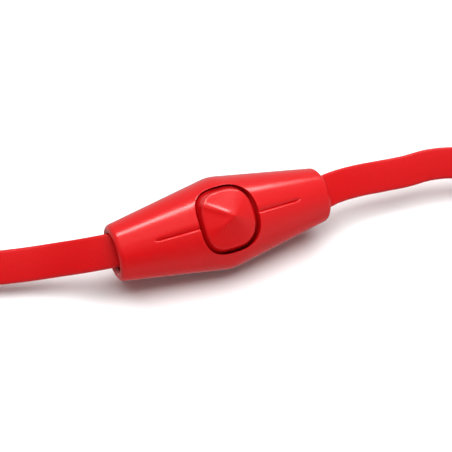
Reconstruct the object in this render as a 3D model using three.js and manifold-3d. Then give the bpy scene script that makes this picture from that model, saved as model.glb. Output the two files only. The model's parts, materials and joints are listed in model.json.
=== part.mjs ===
// Wired in-ear earphones on a flat ribbon cord, put away with the cord in two tied hanks.
// Millimetres, +Z up. The in-line control lies along X with its belly on the ground plane and its
// button leaning towards -Y. The cord runs left (-X) to the plug and right (+X) to the splitter.
import * as THREE from 'three';
import { mergeVertices } from 'three/addons/utils/BufferGeometryUtils.js';
import Module from 'manifold-3d';

const wasm = await Module();
wasm.setup();

// ---- driving dimensions -------------------------------------------------------------------

// Seating between pieces that touch on the real object.
const seat = 0.08;
const faceGap = 0.3;

const remote = {
  bellyRadius: 6.5,
  endRadius: 3.8,
  halfLength: 15.4,
  wall: 1.15,
  boreRadius: 2.8,
  bellyFillet: 5.4,
  rimFillet: 0.65,
  lipFillet: 0.3,
  cavityHalfLength: 11.3,
  buttonLean: THREE.MathUtils.degToRad(47),
  sides: 56,
};

const button = {
  centreX: -0.3,
  holeHalfLength: 4.1,
  holeHalfWidth: 4.55,
  squareness: 2.8,
  points: 48,
  gap: 0.48,
  apexHeight: 7.3,
  rimAbove: 0.12,
  rimBevel: 0.25,
  flare: 0.28,
  flareDepth: 1.2,
  foot: 2.1,
  flangeReach: 0.45,
  flangeClear: 0.18,
  flangeThickness: 0.9,
  skirtWall: 1.3,
  pocketTop: 4.5,
  postRadius: 1.35,
  travel: 0.3,
};

const groove = { tipX: 10.4, wideRadius: 1.05, narrowRadius: 0.62, depth: 0.3, offsetY: 0.2 };

const board = {
  halfLength: 8.1,
  halfWidth: 3.2,
  thickness: 0.8,
  top: -0.1,
  postGap: 0.1,
  postLength: 0.9,
  postWidth: 1.0,
  postInset: 0.2,
};

const chip = { x: 4.6, y: 1.4, length: 1.6, width: 0.8, height: 0.52 };

const tactSwitch = {
  size: 4.2,
  height: 1.0,
  floor: 0.35,
  coverSize: 4.5,
  coverThickness: 0.25,
  plungerRadius: 1.05,
  plungerFlange: 1.45,
  plungerReach: 0.55,
  plungerClear: 0.12,
  flangeGap: 0.02,
  domeRadius: 1.5,
  domeRise: 0.28,
  domeThickness: 0.1,
  wellRadius: 1.7,
};

const microphone = {
  x: 5.2,
  radius: 2.0,
  height: 1.5,
  portRadius: 0.5,
  gasketRadius: 1.6,
  gasketBore: 0.8,
  gasketLift: 0.45,
};

const clamp = { innerX: 8.9, outerX: 11.1, radius: 3.1, noseX: 13.4, noseRadius: 2.65 };

const lead = { width: 4.6, thickness: 1.3 };
const branch = { width: 2.2, thickness: 1.3 };

// A hank lies on its bands, so that its ribbons stand a band and a seating above the ground.
const band = { thickness: 0.5, width: 5, corner: 1.2 };
const hankBottom = band.thickness + faceGap;

const leadHank = {
  centreY: -3,
  startX: -58,
  run: 58,
  outerOffset: 14.8,
  pitch: 1.8,
  turns: 3,
  bandX: [-73, -113],
};

const branchHank = {
  centreY: -3,
  startX: 79,
  run: 31.5,
  outerOffset: 8.25,
  pitch: 1.75,
  layerGap: 0.3,
  bandX: 99,
};

const splitter = { startX: 51, length: 13, height: 7, thickness: 4.2, endHeight: 5.6, centreZ: 3.6, bevel: 0.7 };

const plug = {
  cableX: -80,
  axisY: 0,
  reliefLength: 9,
  reliefEndRadius: 2.7,
  reliefRadius: 3.2,
  housingLength: 16,
  housingRadius: 3.7,
  housingRearRadius: 3.3,
  chamfer: 0.5,
  pinRadius: 1.75,
  pinLength: 14,
  tipLength: 3.6,
  waistRadius: 1.25,
  ringLength: 2.4,
  insulatorLength: 0.6,
  socketDepth: 2.0,
  ribs: 4,
};

const earbud = {
  offsetX: 54,
  offsetY: 9.75,
  baseRadius: 4.2,
  bellyRadius: 6.0,
  bellyHeight: 5.0,
  neckRadius: 3.3,
  neckHeight: 10.6,
  nozzleRadius: 2.5,
  nozzleTop: 14.2,
  nozzleLip: 0.25,
  nozzleBore: 1.8,
  wall: 0.8,
  screenRadius: 2.15,
  screenThickness: 0.2,
  tipRadius: 5.8,
  tipTop: 17.4,
  tipWall: 0.6,
  stemZ: 4.0,
  stemRadius: 2.1,
  stemEndX: 12.6,
  driverRadius: 4.3,
  driverBottom: 3.6,
  driverTop: 6.3,
  magnetRadius: 2.6,
  sides: 24,
};

// ---- materials ----------------------------------------------------------------------------

const colour = {
  glossRed: [0xe2262b, 0.12, 0],
  ribbonRed: [0xdf1f22, 0.5, 0],
  softRed: [0xc61a1e, 0.6, 0],
  board: [0x1f6b3a, 0.5, 0],
  steel: [0xb9bbbe, 0.3, 1],
  gold: [0xd9b36a, 0.25, 1],
  copper: [0xb8693a, 0.35, 1],
  black: [0x1b1b1d, 0.55, 0],
  silicone: [0x2a2a2c, 0.6, 0],
  ceramic: [0xc9b48a, 0.6, 0],
  magnet: [0x4a4c50, 0.4, 1],
  film: [0xd8d8d2, 0.35, 0],
};

function finish(name) {
  const [hex, roughness, metalness] = colour[name];
  return new THREE.MeshStandardMaterial({ color: hex, roughness, metalness });
}

function part(name, geometry, finishName) {
  const mesh = new THREE.Mesh(closed(geometry), finish(finishName));
  mesh.name = name;
  return mesh;
}

// ---- solids -------------------------------------------------------------------------------

// A geometry with shared vertices and its faces pointing out.
function closed(geometry) {
  const bare = geometry.clone();
  bare.deleteAttribute('normal');
  bare.deleteAttribute('uv');
  const merged = mergeVertices(bare, 1e-4);
  const p = merged.attributes.position;
  const source = merged.index.array;
  const kept = [];
  for (let i = 0; i < source.length; i += 3) {
    const [a, b, c] = [source[i], source[i + 1], source[i + 2]];
    if (a !== b && b !== c && c !== a) kept.push(a, b, c);
  }
  const corner = (i) => new THREE.Vector3().fromBufferAttribute(p, i);
  let volume = 0;
  for (let i = 0; i < kept.length; i += 3) {
    volume += corner(kept[i]).dot(corner(kept[i + 1]).cross(corner(kept[i + 2])));
  }
  if (volume < 0) kept.reverse();
  merged.setIndex(kept);
  merged.computeVertexNormals();
  return merged;
}

function solid(geometry) {
  const shape = closed(geometry);
  return new wasm.Manifold(
    new wasm.Mesh({
      numProp: 3,
      vertProperties: Float32Array.from(shape.attributes.position.array),
      triVerts: Uint32Array.from(shape.index.array),
    }),
  );
}

function geometryOf(manifold) {
  const mesh = manifold.getMesh();
  const geometry = new THREE.BufferGeometry();
  const points = new Float32Array(mesh.numVert * 3);
  for (let i = 0; i < mesh.numVert; i += 1) {
    for (let k = 0; k < 3; k += 1) points[3 * i + k] = mesh.vertProperties[mesh.numProp * i + k];
  }
  geometry.setAttribute('position', new THREE.BufferAttribute(points, 3));
  geometry.setIndex(Array.from(mesh.triVerts));
  geometry.computeVertexNormals();
  return geometry;
}

function cut(geometry, ...tools) {
  let body = solid(geometry);
  for (const tool of tools) body = body.subtract(solid(tool));
  return geometryOf(body);
}

function joined(geometry, ...others) {
  let body = solid(geometry);
  for (const other of others) body = body.add(solid(other));
  return geometryOf(body);
}

function common(geometry, other) {
  return geometryOf(solid(geometry).intersect(solid(other)));
}

function box(x0, x1, y0, y1, z0, z1) {
  const geometry = new THREE.BoxGeometry(x1 - x0, y1 - y0, z1 - z0);
  return geometry.translate((x0 + x1) / 2, (y0 + y1) / 2, (z0 + z1) / 2);
}

// A solid of revolution about Z from [radius, z] points that start and end on the axis or close.
function turned(profile, sides) {
  return new THREE.LatheGeometry(profile.map(([r, z]) => new THREE.Vector2(r, z)), sides).rotateX(Math.PI / 2);
}

// The same about X, from [radius, x] points.
function turnedAlongX(profile, sides) {
  return new THREE.LatheGeometry(profile.map(([r, x]) => new THREE.Vector2(r, x)), sides).rotateZ(-Math.PI / 2);
}

function ring(innerRadius, outerRadius, z0, z1, sides) {
  const corner = [innerRadius, z0];
  return turned([corner, [outerRadius, z0], [outerRadius, z1], [innerRadius, z1], corner], sides);
}

function disc(radius, z0, z1, sides) {
  return turned([[0, z0], [radius, z0], [radius, z1], [0, z1]], sides);
}

// Points on an arc of a fillet, from one angle to another.
function arc(centreR, centreX, radius, from, to, steps) {
  const points = [];
  for (let i = 0; i <= steps; i += 1) {
    const angle = from + ((to - from) * i) / steps;
    points.push([centreR + radius * Math.sin(angle), centreX + radius * Math.cos(angle)]);
  }
  return points;
}

// A rounded square of the button's kind, as points in X and Y.
function squircle(halfLength, halfWidth, squareness, count) {
  const points = [];
  for (let i = 0; i < count; i += 1) {
    const angle = (2 * Math.PI * i) / count;
    const along = Math.sign(Math.cos(angle)) * Math.abs(Math.cos(angle)) ** (2 / squareness);
    const across = Math.sign(Math.sin(angle)) * Math.abs(Math.sin(angle)) ** (2 / squareness);
    points.push(new THREE.Vector2(halfLength * along, halfWidth * across));
  }
  return points;
}

// A solid through rings of equally many points, closed at the axis above and below.
function lofted(rings, top, bottom) {
  const count = rings[0].length;
  const foot = rings.length - 1;
  const peak = rings.length * count;
  const index = [];
  for (let i = 0; i < count; i += 1) {
    const next = (i + 1) % count;
    index.push(peak, i, next);
    for (let k = 0; k < foot; k += 1) {
      const [a, b] = [k * count + i, k * count + next];
      index.push(a, a + count, b, b, a + count, b + count);
    }
    index.push(peak + 1, foot * count + next, foot * count + i);
  }
  const geometry = new THREE.BufferGeometry();
  const points = [...rings.flat(2), 0, 0, top, 0, 0, bottom];
  geometry.setAttribute('position', new THREE.Float32BufferAttribute(points, 3));
  geometry.setIndex(index);
  return geometry;
}

// ---- ribbons ------------------------------------------------------------------------------

// A path with its stations given one by one, and a ribbon's frame at each: the width leans from
// the vertical by the roll, and the thickness is square to it and to the way the ribbon runs.
class RibbonPath extends THREE.Curve {
  constructor(stations, rollAt) {
    super();
    this.stations = stations;
    this.rollAt = rollAt;
  }

  getPoint(t) {
    const place = t * (this.stations.length - 1);
    const i = Math.min(Math.floor(place), this.stations.length - 2);
    return this.stations[i].clone().lerp(this.stations[i + 1], place - i);
  }

  getSpacedPoints() {
    return this.stations;
  }

  computeFrenetFrames() {
    const tangents = [];
    const normals = [];
    const binormals = [];
    let travelled = 0;
    this.stations.forEach((here, i) => {
      const before = this.stations[Math.max(i - 1, 0)];
      const after = this.stations[Math.min(i + 1, this.stations.length - 1)];
      if (i > 0) travelled += here.distanceTo(before);
      const tangent = after.clone().sub(before).normalize();
      const side = new THREE.Vector3(0, 0, 1).cross(tangent).normalize();
      const up = tangent.clone().cross(side);
      const roll = this.rollAt(travelled);
      const wide = up.multiplyScalar(Math.cos(roll)).addScaledVector(side, Math.sin(roll));
      tangents.push(tangent);
      binormals.push(wide);
      normals.push(wide.clone().cross(tangent));
    });
    return { tangents, normals, binormals };
  }
}

const onEdge = () => 0;

// Half sections of a ribbon: six sides for a hank's turns, eight for a free stretch.
function ribbonSection(size, sides) {
  const a = size.thickness / 2;
  const b = size.width / 2;
  const shoulder = b - a * 0.9;
  const crown = a * 0.42;
  const right = sides === 6
    ? [[a, -shoulder], [a, shoulder], [0, b]]
    : [[a, -shoulder], [a, shoulder], [crown, b], [-crown, b]];
  const all = [...right, ...right.map(([x, y]) => [-x, -y])];
  return new THREE.Shape(all.map(([x, y]) => new THREE.Vector2(x, y)));
}

function ribbon(size, stations, rollAt, sides) {
  return new THREE.ExtrudeGeometry(ribbonSection(size, sides), {
    steps: stations.length - 1,
    extrudePath: new RibbonPath(stations, rollAt),
  });
}

// A free stretch: evenly spaced stations on a smooth curve through hand-chosen points.
function freeStations(points, steps) {
  const curve = new THREE.CatmullRomCurve3(points.map((p) => new THREE.Vector3(...p)), false, 'centripetal');
  return curve.getSpacedPoints(steps);
}

function lengthOf(stations) {
  let total = 0;
  for (let i = 1; i < stations.length; i += 1) total += stations[i].distanceTo(stations[i - 1]);
  return total;
}

const loopSteps = 24;
const bendSteps = loopSteps / 2 - 2;

// Stations of a half turn in plan: from one side of the hank to the other about (x, y).
function halfTurn(x, y, radius, from, turn, z) {
  const points = [];
  for (let i = 0; i <= bendSteps; i += 1) {
    const angle = from + (turn * Math.PI * i) / bendSteps;
    points.push(new THREE.Vector3(x + radius * Math.cos(angle), y + radius * Math.sin(angle), z));
  }
  return points;
}

// The lead's hank spirals in, one pitch a turn, on edge, from the far side's run.
function leadHankStations() {
  const { centreY, startX, run, outerOffset, pitch, turns } = leadHank;
  const z = hankBottom + lead.width / 2;
  const farX = startX - run;
  const stations = [];
  for (let turn = 0; turn < turns; turn += 1) {
    const offset = outerOffset - turn * pitch;
    stations.push(new THREE.Vector3(startX - run / 2, centreY + offset, z));
    stations.push(...halfTurn(farX, centreY, offset, Math.PI / 2, 1, z));
    stations.push(new THREE.Vector3(startX - run / 2, centreY - offset, z));
    stations.push(...halfTurn(startX, centreY - pitch / 2, offset - pitch / 2, -Math.PI / 2, 1, z));
  }
  return [new THREE.Vector3(startX, centreY + outerOffset, z), ...stations];
}

// A branch's hank spirals in, crosses its own middle on a slant and spirals out again between
// its first turns, then goes once more round the end. side is +1 for the lower ribbon and -1 for
// the upper one, which is its mirror image a layer higher and comes down once it is outside.
function branchHankStations(side) {
  const { centreY, startX, run, outerOffset, pitch } = branchHank;
  const endX = startX + run;
  const midX = startX + run / 2;
  const z = layerHeight(side);
  const first = outerOffset;
  const [second, third] = [first - pitch, first - 2 * pitch];
  const half = pitch / 2;
  const at = (x, y) => new THREE.Vector3(x, centreY + side * y, z);
  const bend = (x, y, radius, from, turn) => halfTurn(x, centreY + side * y, radius, side * from, side * turn, z);
  const slant = [];
  const slantSteps = 8;
  for (let i = 1; i < slantSteps; i += 1) {
    const share = i / slantSteps;
    slant.push(at(startX + run * share, third * Math.cos(Math.PI * share)));
  }
  const upright = Math.PI / 2;
  return [
    at(startX, first),
    at(midX, first),
    ...bend(endX, half, first - half, upright, -1),
    at(midX, -second),
    ...bend(startX, -half, second - half, -upright, -1),
    ...slant,
    ...bend(endX, half, second - half, -upright, 1),
    at(midX, second),
    ...bend(startX, -half, first - half, upright, 1),
    at(midX, -first),
    ...bend(endX, half, first + half, -upright, 1),
  ];
}

function layerHeight(side) {
  const lower = hankBottom + branch.width / 2;
  return side > 0 ? lower : lower + branch.width + branchHank.layerGap;
}

// The least clear distance between stretches of one ribbon that aren't neighbours along it.
function leastGap(stations, thickness) {
  const points = [];
  for (let i = 1; i < stations.length; i += 1) {
    const steps = Math.ceil(stations[i].distanceTo(stations[i - 1]) / 0.5);
    for (let k = 0; k < steps; k += 1) points.push(stations[i - 1].clone().lerp(stations[i], k / steps));
  }
  let least = Infinity;
  const near = 8 * thickness;
  const along = [0];
  for (let i = 1; i < points.length; i += 1) along.push(along[i - 1] + points[i].distanceTo(points[i - 1]));
  for (let i = 0; i < points.length; i += 1) {
    for (let k = i + 1; k < points.length; k += 1) {
      if (along[k] - along[i] > near) least = Math.min(least, points[i].distanceTo(points[k]));
    }
  }
  return least - thickness;
}

// ---- the in-line control, in its own frame: X along, Z out of the button -------------------

const coneSlope = (remote.bellyRadius - remote.endRadius) / remote.halfLength;
const coneAngle = Math.atan(coneSlope);

// Outer radius at a distance along the axis, with the belly's rounding.
function remoteRadius(x) {
  const flat = remote.bellyFillet * Math.sin(coneAngle);
  if (Math.abs(x) >= flat) return remote.bellyRadius - coneSlope * Math.abs(x);
  const centre = remote.bellyRadius - remote.bellyFillet / Math.cos(coneAngle);
  return centre + Math.sqrt(remote.bellyFillet ** 2 - x ** 2);
}

function remoteProfile() {
  const { halfLength, endRadius, rimFillet, lipFillet, boreRadius, cavityHalfLength, wall, bellyFillet } = remote;
  const rimX = halfLength - rimFillet;
  const rimR = endRadius + coneSlope * rimFillet - rimFillet / Math.cos(coneAngle);
  const bellyR = remote.bellyRadius - bellyFillet / Math.cos(coneAngle);
  const right = Math.PI / 2;
  const half = [
    ...arc(bellyR, 0, bellyFillet, right, right - coneAngle, 3),
    ...arc(rimR, rimX, rimFillet, right - coneAngle, 0, 4),
    ...arc(boreRadius + lipFillet, halfLength - lipFillet, lipFillet, 0, -right, 2),
    [boreRadius, cavityHalfLength],
    [remoteRadius(cavityHalfLength) - wall, cavityHalfLength],
    [remoteRadius(0) - wall, 0],
  ];
  const mirrored = half.slice(1, -1).reverse().map(([r, x]) => [r, -x]);
  return [...half, ...mirrored, half[0]];
}

// The button's outline, moved in (or out, below zero) from the edge of its hole.
function buttonOutline(inset) {
  return squircle(button.holeHalfLength - inset, button.holeHalfWidth - inset, button.squareness, button.points);
}

// The same outline as an upright prism.
function buttonPrism(inset, bottom, top) {
  const shape = new THREE.Shape(buttonOutline(inset));
  return new THREE.ExtrudeGeometry(shape, { depth: top - bottom, bevelEnabled: false }).translate(0, 0, bottom);
}

function buttonHole() {
  return buttonPrism(0, 0, button.apexHeight + 1).translate(button.centreX, 0, 0);
}

// A tapered scoop along the top of the cone, from the button's hole to a round tip.
function grooveTool(side) {
  const startX = button.holeHalfLength - 1;
  const axisHeight = (x, radius) => remoteRadius(x) + radius - groove.depth;
  const from = new THREE.Vector3(side * startX, 0, axisHeight(startX, groove.wideRadius));
  const to = new THREE.Vector3(side * groove.tipX, 0, axisHeight(groove.tipX, groove.narrowRadius));
  const length = from.distanceTo(to);
  const roundTip = arc(0, length - groove.narrowRadius, groove.narrowRadius, Math.PI / 2, 0, 5);
  const profile = [[0, 0], [groove.wideRadius, 0], ...roundTip.slice(0, -1), [0, length]];
  const scoop = turned(profile, 20);
  const lean = to.clone().sub(from).normalize();
  const turn = new THREE.Quaternion().setFromUnitVectors(new THREE.Vector3(0, 0, 1), lean);
  return scoop.applyQuaternion(turn).translate(from.x, groove.offsetY, from.z);
}

function shellHalf(side) {
  const body = turnedAlongX(remoteProfile(), remote.sides);
  const far = remote.halfLength + 1;
  const wide = remote.bellyRadius + 1;
  const keep = side > 0
    ? box(-far, far, -wide, wide, seat / 2, wide)
    : box(-far, far, -wide, wide, -wide, -seat / 2);
  return common(body, keep);
}

function frontShell() {
  return cut(shellHalf(1), buttonHole(), grooveTool(1), grooveTool(-1));
}

// The rear half carries the circuit board on four posts and has the microphone's port.
function rearShell() {
  const postTop = board.top - board.thickness - board.postGap;
  const posts = [];
  for (const x of [-1, 1]) {
    for (const y of [-1, 1]) {
      const cornerX = x * (board.halfLength - board.postInset);
      const cornerY = y * (board.halfWidth - board.postInset);
      const [x0, x1] = [cornerX, cornerX - x * board.postLength].sort((a, b) => a - b);
      const [y0, y1] = [cornerY, cornerY - y * board.postWidth].sort((a, b) => a - b);
      posts.push(box(x0, x1, y0, y1, -remoteRadius(x0) + remote.wall / 2, postTop));
    }
  }
  const inside = turnedAlongX(
    [[0, -remote.halfLength], ...remoteOutside(-remote.wall / 2), [0, remote.halfLength]],
    remote.sides,
  );
  const trimmed = posts.map((post) => common(post, inside));
  const port = disc(microphone.portRadius, -remote.bellyRadius - 1, 0, 16).translate(microphone.x, 0, 0);
  return cut(joined(shellHalf(-1), ...trimmed), port);
}

// The outer outline as plain [radius, x] points, moved in or out.
function remoteOutside(offset) {
  const xs = [-remote.halfLength, -remote.halfLength / 2, 0, remote.halfLength / 2, remote.halfLength];
  return xs.map((x) => [remoteRadius(x) + offset, x]);
}

// Height of the button's rim at an angle round it: just above the body, whose curve it follows.
function rimHeight(x, y) {
  const radius = remoteRadius(x + button.centreX);
  return Math.sqrt(radius ** 2 - y ** 2) + button.rimAbove;
}

// A layer under the shell's inner surface, in which the button's flange lies.
function flangeLayer() {
  const top = remoteOutside(-remote.wall - button.flangeClear);
  const bottom = remoteOutside(-remote.wall - button.flangeClear - button.flangeThickness).reverse();
  return turnedAlongX([...top, ...bottom, top[0]], remote.sides);
}

// The cap is a low pyramid with soft ridges over a rounded square. Its sides flare a little on the
// way down, a flange round its foot lies under the shell and keeps it in, and it is hollow but for
// the post that pushes the switch.
function buttonCap() {
  const rim = buttonOutline(button.gap);
  const flared = buttonOutline(button.gap - button.flare);
  const slope = (share, drop) => rim.map(({ x, y }) => {
    const z = button.apexHeight - (button.apexHeight - rimHeight(x, y)) * drop;
    return [x * share, y * share, z];
  });
  const rings = [
    slope(0.12, 0.06),
    slope(0.5, 0.47),
    slope(0.93, 0.93),
    rim.map(({ x, y }) => [x, y, rimHeight(x, y) - button.rimBevel]),
    flared.map(({ x, y }, i) => [x, y, rimHeight(rim[i].x, rim[i].y) - button.flareDepth]),
    flared.map(({ x, y }) => [x, y, button.foot]),
  ];
  const body = lofted(rings, button.apexHeight, button.foot);
  const flange = common(buttonPrism(-button.flangeReach, button.foot, remote.bellyRadius), flangeLayer());
  const pocket = buttonPrism(button.skirtWall, button.foot - 1, button.pocketTop);
  const post = disc(button.postRadius, plungerTop() + seat, button.pocketTop + 0.5, 20);
  return joined(cut(joined(body, flange), pocket), post).translate(button.centreX, 0, 0);
}

function switchBase() {
  return board.top + seat;
}

function switchTop() {
  return switchBase() + tactSwitch.height;
}

function plungerTop() {
  return switchTop() + seat + tactSwitch.coverThickness + button.travel + tactSwitch.plungerReach;
}

function circuitBoard() {
  const { halfLength, halfWidth, thickness, top } = board;
  return box(-halfLength, halfLength, -halfWidth, halfWidth, top - thickness, top);
}

// A tact switch: a body with a well, a snap dome in it, a plunger on the dome and a steel cover.
function switchParts() {
  const half = tactSwitch.size / 2;
  const base = switchBase();
  const top = switchTop();
  const wellFloor = base + tactSwitch.floor;
  const body = cut(
    box(-half, half, -half, half, base, top),
    disc(tactSwitch.wellRadius, wellFloor, top + 1, 24),
  );
  const coverHalf = tactSwitch.coverSize / 2;
  const coverBottom = top + seat;
  const cover = cut(
    box(-coverHalf, coverHalf, -coverHalf, coverHalf, coverBottom, coverBottom + tactSwitch.coverThickness),
    disc(tactSwitch.plungerRadius + tactSwitch.plungerClear, 0, coverBottom + 1, 24),
  );
  const domeBottom = wellFloor + seat;
  const domeArc = (rise, lift) => {
    const points = [];
    for (let i = 0; i <= 4; i += 1) {
      const r = (tactSwitch.domeRadius * i) / 4;
      points.push([r, domeBottom + lift + rise * (1 - (r / tactSwitch.domeRadius) ** 2)]);
    }
    return points;
  };
  const under = domeArc(tactSwitch.domeRise, 0);
  const over = domeArc(tactSwitch.domeRise, tactSwitch.domeThickness).reverse();
  const dome = turned([...under, ...over], 16);
  const plungerBottom = domeBottom + tactSwitch.domeRise + tactSwitch.domeThickness + seat;
  const plunger = turned(
    [
      [0, plungerBottom],
      [tactSwitch.plungerFlange, plungerBottom],
      [tactSwitch.plungerFlange, top - tactSwitch.flangeGap],
      [tactSwitch.plungerRadius, top - tactSwitch.flangeGap],
      [tactSwitch.plungerRadius, plungerTop()],
      [0, plungerTop()],
    ],
    24,
  );
  const x = button.centreX;
  return [body, cover, dome, plunger].map((geometry) => geometry.translate(x, 0, 0));
}

function microphoneParts() {
  const under = board.top - board.thickness - seat;
  const bottom = under - microphone.height;
  const capsule = disc(microphone.radius, bottom, under, 28);
  const gasketBottom = -(remoteRadius(microphone.x) - remote.wall) + microphone.gasketLift;
  const gasket = ring(microphone.gasketBore, microphone.gasketRadius, gasketBottom, bottom - seat, 24);
  return [capsule, gasket].map((geometry) => geometry.translate(microphone.x, 0, 0));
}

// The moulding that grips the ribbon's end: a flange inside the body and a nose in each mouth.
function cableClamp(side) {
  const { innerX, outerX, radius, noseX, noseRadius } = clamp;
  const flange = [[0, innerX], [radius, innerX], [radius, outerX]];
  const nose = [[noseRadius, outerX], [noseRadius, noseX], [0, noseX]];
  const geometry = turnedAlongX([...flange, ...nose], 28);
  return side > 0 ? geometry : geometry.rotateZ(Math.PI);
}

// A small component on the board, on one side or the other of the board's middle line.
function chipOnBoard(side) {
  const { x, y, length, width, height } = chip;
  const solder = board.top + seat;
  return box(-length / 2, length / 2, -width / 2, width / 2, solder, solder + height).translate(x, side * y, 0);
}

function controlGroup() {
  const group = new THREE.Group();
  const [switchBody, switchCover, dome, plunger] = switchParts();
  const [capsule, gasket] = microphoneParts();
  group.add(
    part('front_shell', frontShell(), 'glossRed'),
    part('rear_shell', rearShell(), 'glossRed'),
    part('button_cap', buttonCap(), 'glossRed'),
    part('switch_body', switchBody, 'black'),
    part('switch_cover', switchCover, 'steel'),
    part('snap_dome', dome, 'steel'),
    part('switch_plunger', plunger, 'black'),
    part('circuit_board', circuitBoard(), 'board'),
    part('bias_resistor', chipOnBoard(1), 'black'),
    part('filter_capacitor', chipOnBoard(-1), 'ceramic'),
    part('microphone_capsule', capsule, 'steel'),
    part('microphone_gasket', gasket, 'black'),
    part('cable_clamp_left', cableClamp(-1), 'softRed'),
    part('cable_clamp_right', cableClamp(1), 'softRed'),
  );
  group.rotation.x = remote.buttonLean;
  group.position.z = remote.bellyRadius;
  return group;
}

// ---- the cord -----------------------------------------------------------------------------

// Free stretches, as points chosen by hand. Each leaves its clamp straight and meets its hank
// straight. Heights are of the ribbon's centre.
const leadLeftPoints = [
  [-13.7, 0.2, 6.75],
  [-15.4, 0.35, 6.78],
  [-17.3, 1.1, 6.35],
  [-19.4, 2.25, 5.65],
  [-21.6, 3.55, 4.9],
  [-24, 4.7, 4.3],
  [-26.3, 5.6, 3.95],
  [-28.2, 6.3, 3.75],
  [-32.5, 7.9, 3.4],
  [-37.5, 9.3, 3.2],
  [-43, 10.6, 3.1],
  [-49, 11.5, 3.1],
  [-53.5, 11.8, 3.1],
  [-57.7, 11.8, 3.1],
];

const leadRightPoints = [
  [13.7, 0, 6.5],
  [15.4, 0, 6.5],
  [18.2, 0.8, 6.2],
  [22.4, 1.35, 5.7],
  [26.1, 1.25, 5.4],
  [29.9, 0.9, 5.3],
  [34.2, 0.55, 5.5],
  [38, -0.5, 5.4],
  [41.7, -1.7, 4.8],
  [45, -2.6, 4.1],
  [47.7, -3, 3.7],
  [50.7, -3, 3.6],
];

const leadPlugPoints = [
  [-58.3, 6.4, 3.1],
  [-61.5, 6.3, 3.1],
  [-65, 5.4, 3.1],
  [-68.5, 3.6, 3.1],
  [-72, 1.5, 3.1],
  [-74.5, 0.4, 3.12],
  [-77, 0.03, 3.45],
  [-79.7, 0, 3.7],
];

const splitterEnd = splitter.startX + splitter.length + faceGap;

// From the splitter out to each branch's first run, and from its last run to its earbud.
function branchLeadPoints(side) {
  const z = layerHeight(side);
  const { centreY } = branchHank;
  const leaveZ = splitter.centreZ - side * (branch.width + branchHank.layerGap) / 2;
  return [
    [splitterEnd, centreY, leaveZ],
    [splitterEnd + 1.6, centreY + side * 0.05, leaveZ],
    [67.6, centreY + side * 0.9, z],
    [70.2, centreY + side * 3.4, z],
    [72.6, centreY + side * 6.0, z],
    [75, centreY + side * 7.75, z],
    [77, centreY + side * 8.22, z],
    [78.7, centreY + side * 8.25, z],
  ];
}

function earbudLeadPoints(side) {
  const low = layerHeight(1);
  const high = layerHeight(side);
  const y = branchHank.centreY + side * (branchHank.outerOffset + branchHank.pitch);
  const stemY = branchHank.centreY + side * earbud.offsetY;
  return [
    [110.2, y, high],
    [107.5, y, high],
    [103, y, high + (low - high) * 0.25],
    [97, y, high + (low - high) * 0.8],
    [92, y, low],
    [86, y, low + 0.1],
    [80, y, low + 0.7],
    [75.5, y, low + 1.5],
    [71.5, (y + stemY) / 2, earbud.stemZ - 0.15],
    [68.8, stemY, earbud.stemZ],
    [66.9, stemY, earbud.stemZ],
  ];
}

// The roll at each mouth of the control, where the ribbon lies square to the button, eases to
// on edge outside.
function easedRoll(start, from, to) {
  return (travelled) => {
    const share = THREE.MathUtils.clamp((travelled - from) / (to - from), 0, 1);
    return start * (1 - share * share * (3 - 2 * share));
  };
}

const mouthRoll = Math.PI / 2 - remote.buttonLean;

function cordGroup() {
  const group = new THREE.Group();
  const hank = leadHankStations();
  const left = freeStations(leadLeftPoints, 22);
  const right = freeStations(leadRightPoints, 16);
  const toPlug = freeStations(leadPlugPoints, 8);
  group.add(
    part('lead_left', ribbon(lead, left, easedRoll(-mouthRoll, 7.5, 33), 8), 'ribbonRed'),
    part('lead_hank', ribbon(lead, hank, onEdge, 6), 'ribbonRed'),
    part('lead_to_plug', ribbon(lead, toPlug, onEdge, 8), 'ribbonRed'),
    part('lead_right', ribbon(lead, right, easedRoll(mouthRoll, 14.5, 33), 8), 'ribbonRed'),
  );
  console.log(`lead hank: least gap ${leastGap(hank, lead.thickness).toFixed(2)} mm`);
  const leftLength = lengthOf(left) + lengthOf(hank) + lengthOf(toPlug);
  console.log(`lead: plug side ${leftLength.toFixed(0)} mm, splitter side ${lengthOf(right).toFixed(0)} mm`);
  for (const [name, side] of [['left', 1], ['right', -1]]) {
    const stations = branchHankStations(side);
    const start = freeStations(branchLeadPoints(side), 8);
    const end = freeStations(earbudLeadPoints(side), 16);
    group.add(
      part(`branch_${name}`, ribbon(branch, start, onEdge, 8), 'ribbonRed'),
      part(`branch_hank_${name}`, ribbon(branch, stations, onEdge, 6), 'ribbonRed'),
      part(`earbud_lead_${name}`, ribbon(branch, end, onEdge, 8), 'ribbonRed'),
    );
    const total = lengthOf(start) + lengthOf(stations) + lengthOf(end);
    const gap = leastGap(stations, branch.thickness);
    console.log(`${name} branch: ${total.toFixed(0)} mm, least gap ${gap.toFixed(2)} mm`);
  }
  return group;
}

// A closed band round a hank, from its runs' outer faces and height.
function hankBand(x, centreY, halfWidth, height) {
  const outline = (grow) => {
    const y = halfWidth + faceGap + grow;
    const z0 = band.thickness - grow;
    const z1 = hankBottom + height + faceGap + grow;
    const r = band.corner + grow - band.thickness;
    const shape = new THREE.Shape();
    shape.moveTo(-y + r, z0);
    shape.lineTo(y - r, z0);
    shape.absarc(y - r, z0 + r, r, -Math.PI / 2, 0);
    shape.absarc(y - r, z1 - r, r, 0, Math.PI / 2);
    shape.absarc(-y + r, z1 - r, r, Math.PI / 2, Math.PI);
    shape.absarc(-y + r, z0 + r, r, Math.PI, 1.5 * Math.PI);
    return shape;
  };
  const outer = outline(band.thickness);
  outer.holes.push(outline(0));
  const geometry = new THREE.ExtrudeGeometry(outer, { depth: band.width, bevelEnabled: false, curveSegments: 3 });
  return geometry.rotateX(Math.PI / 2).rotateZ(Math.PI / 2).translate(x - band.width / 2, centreY, 0);
}

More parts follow.
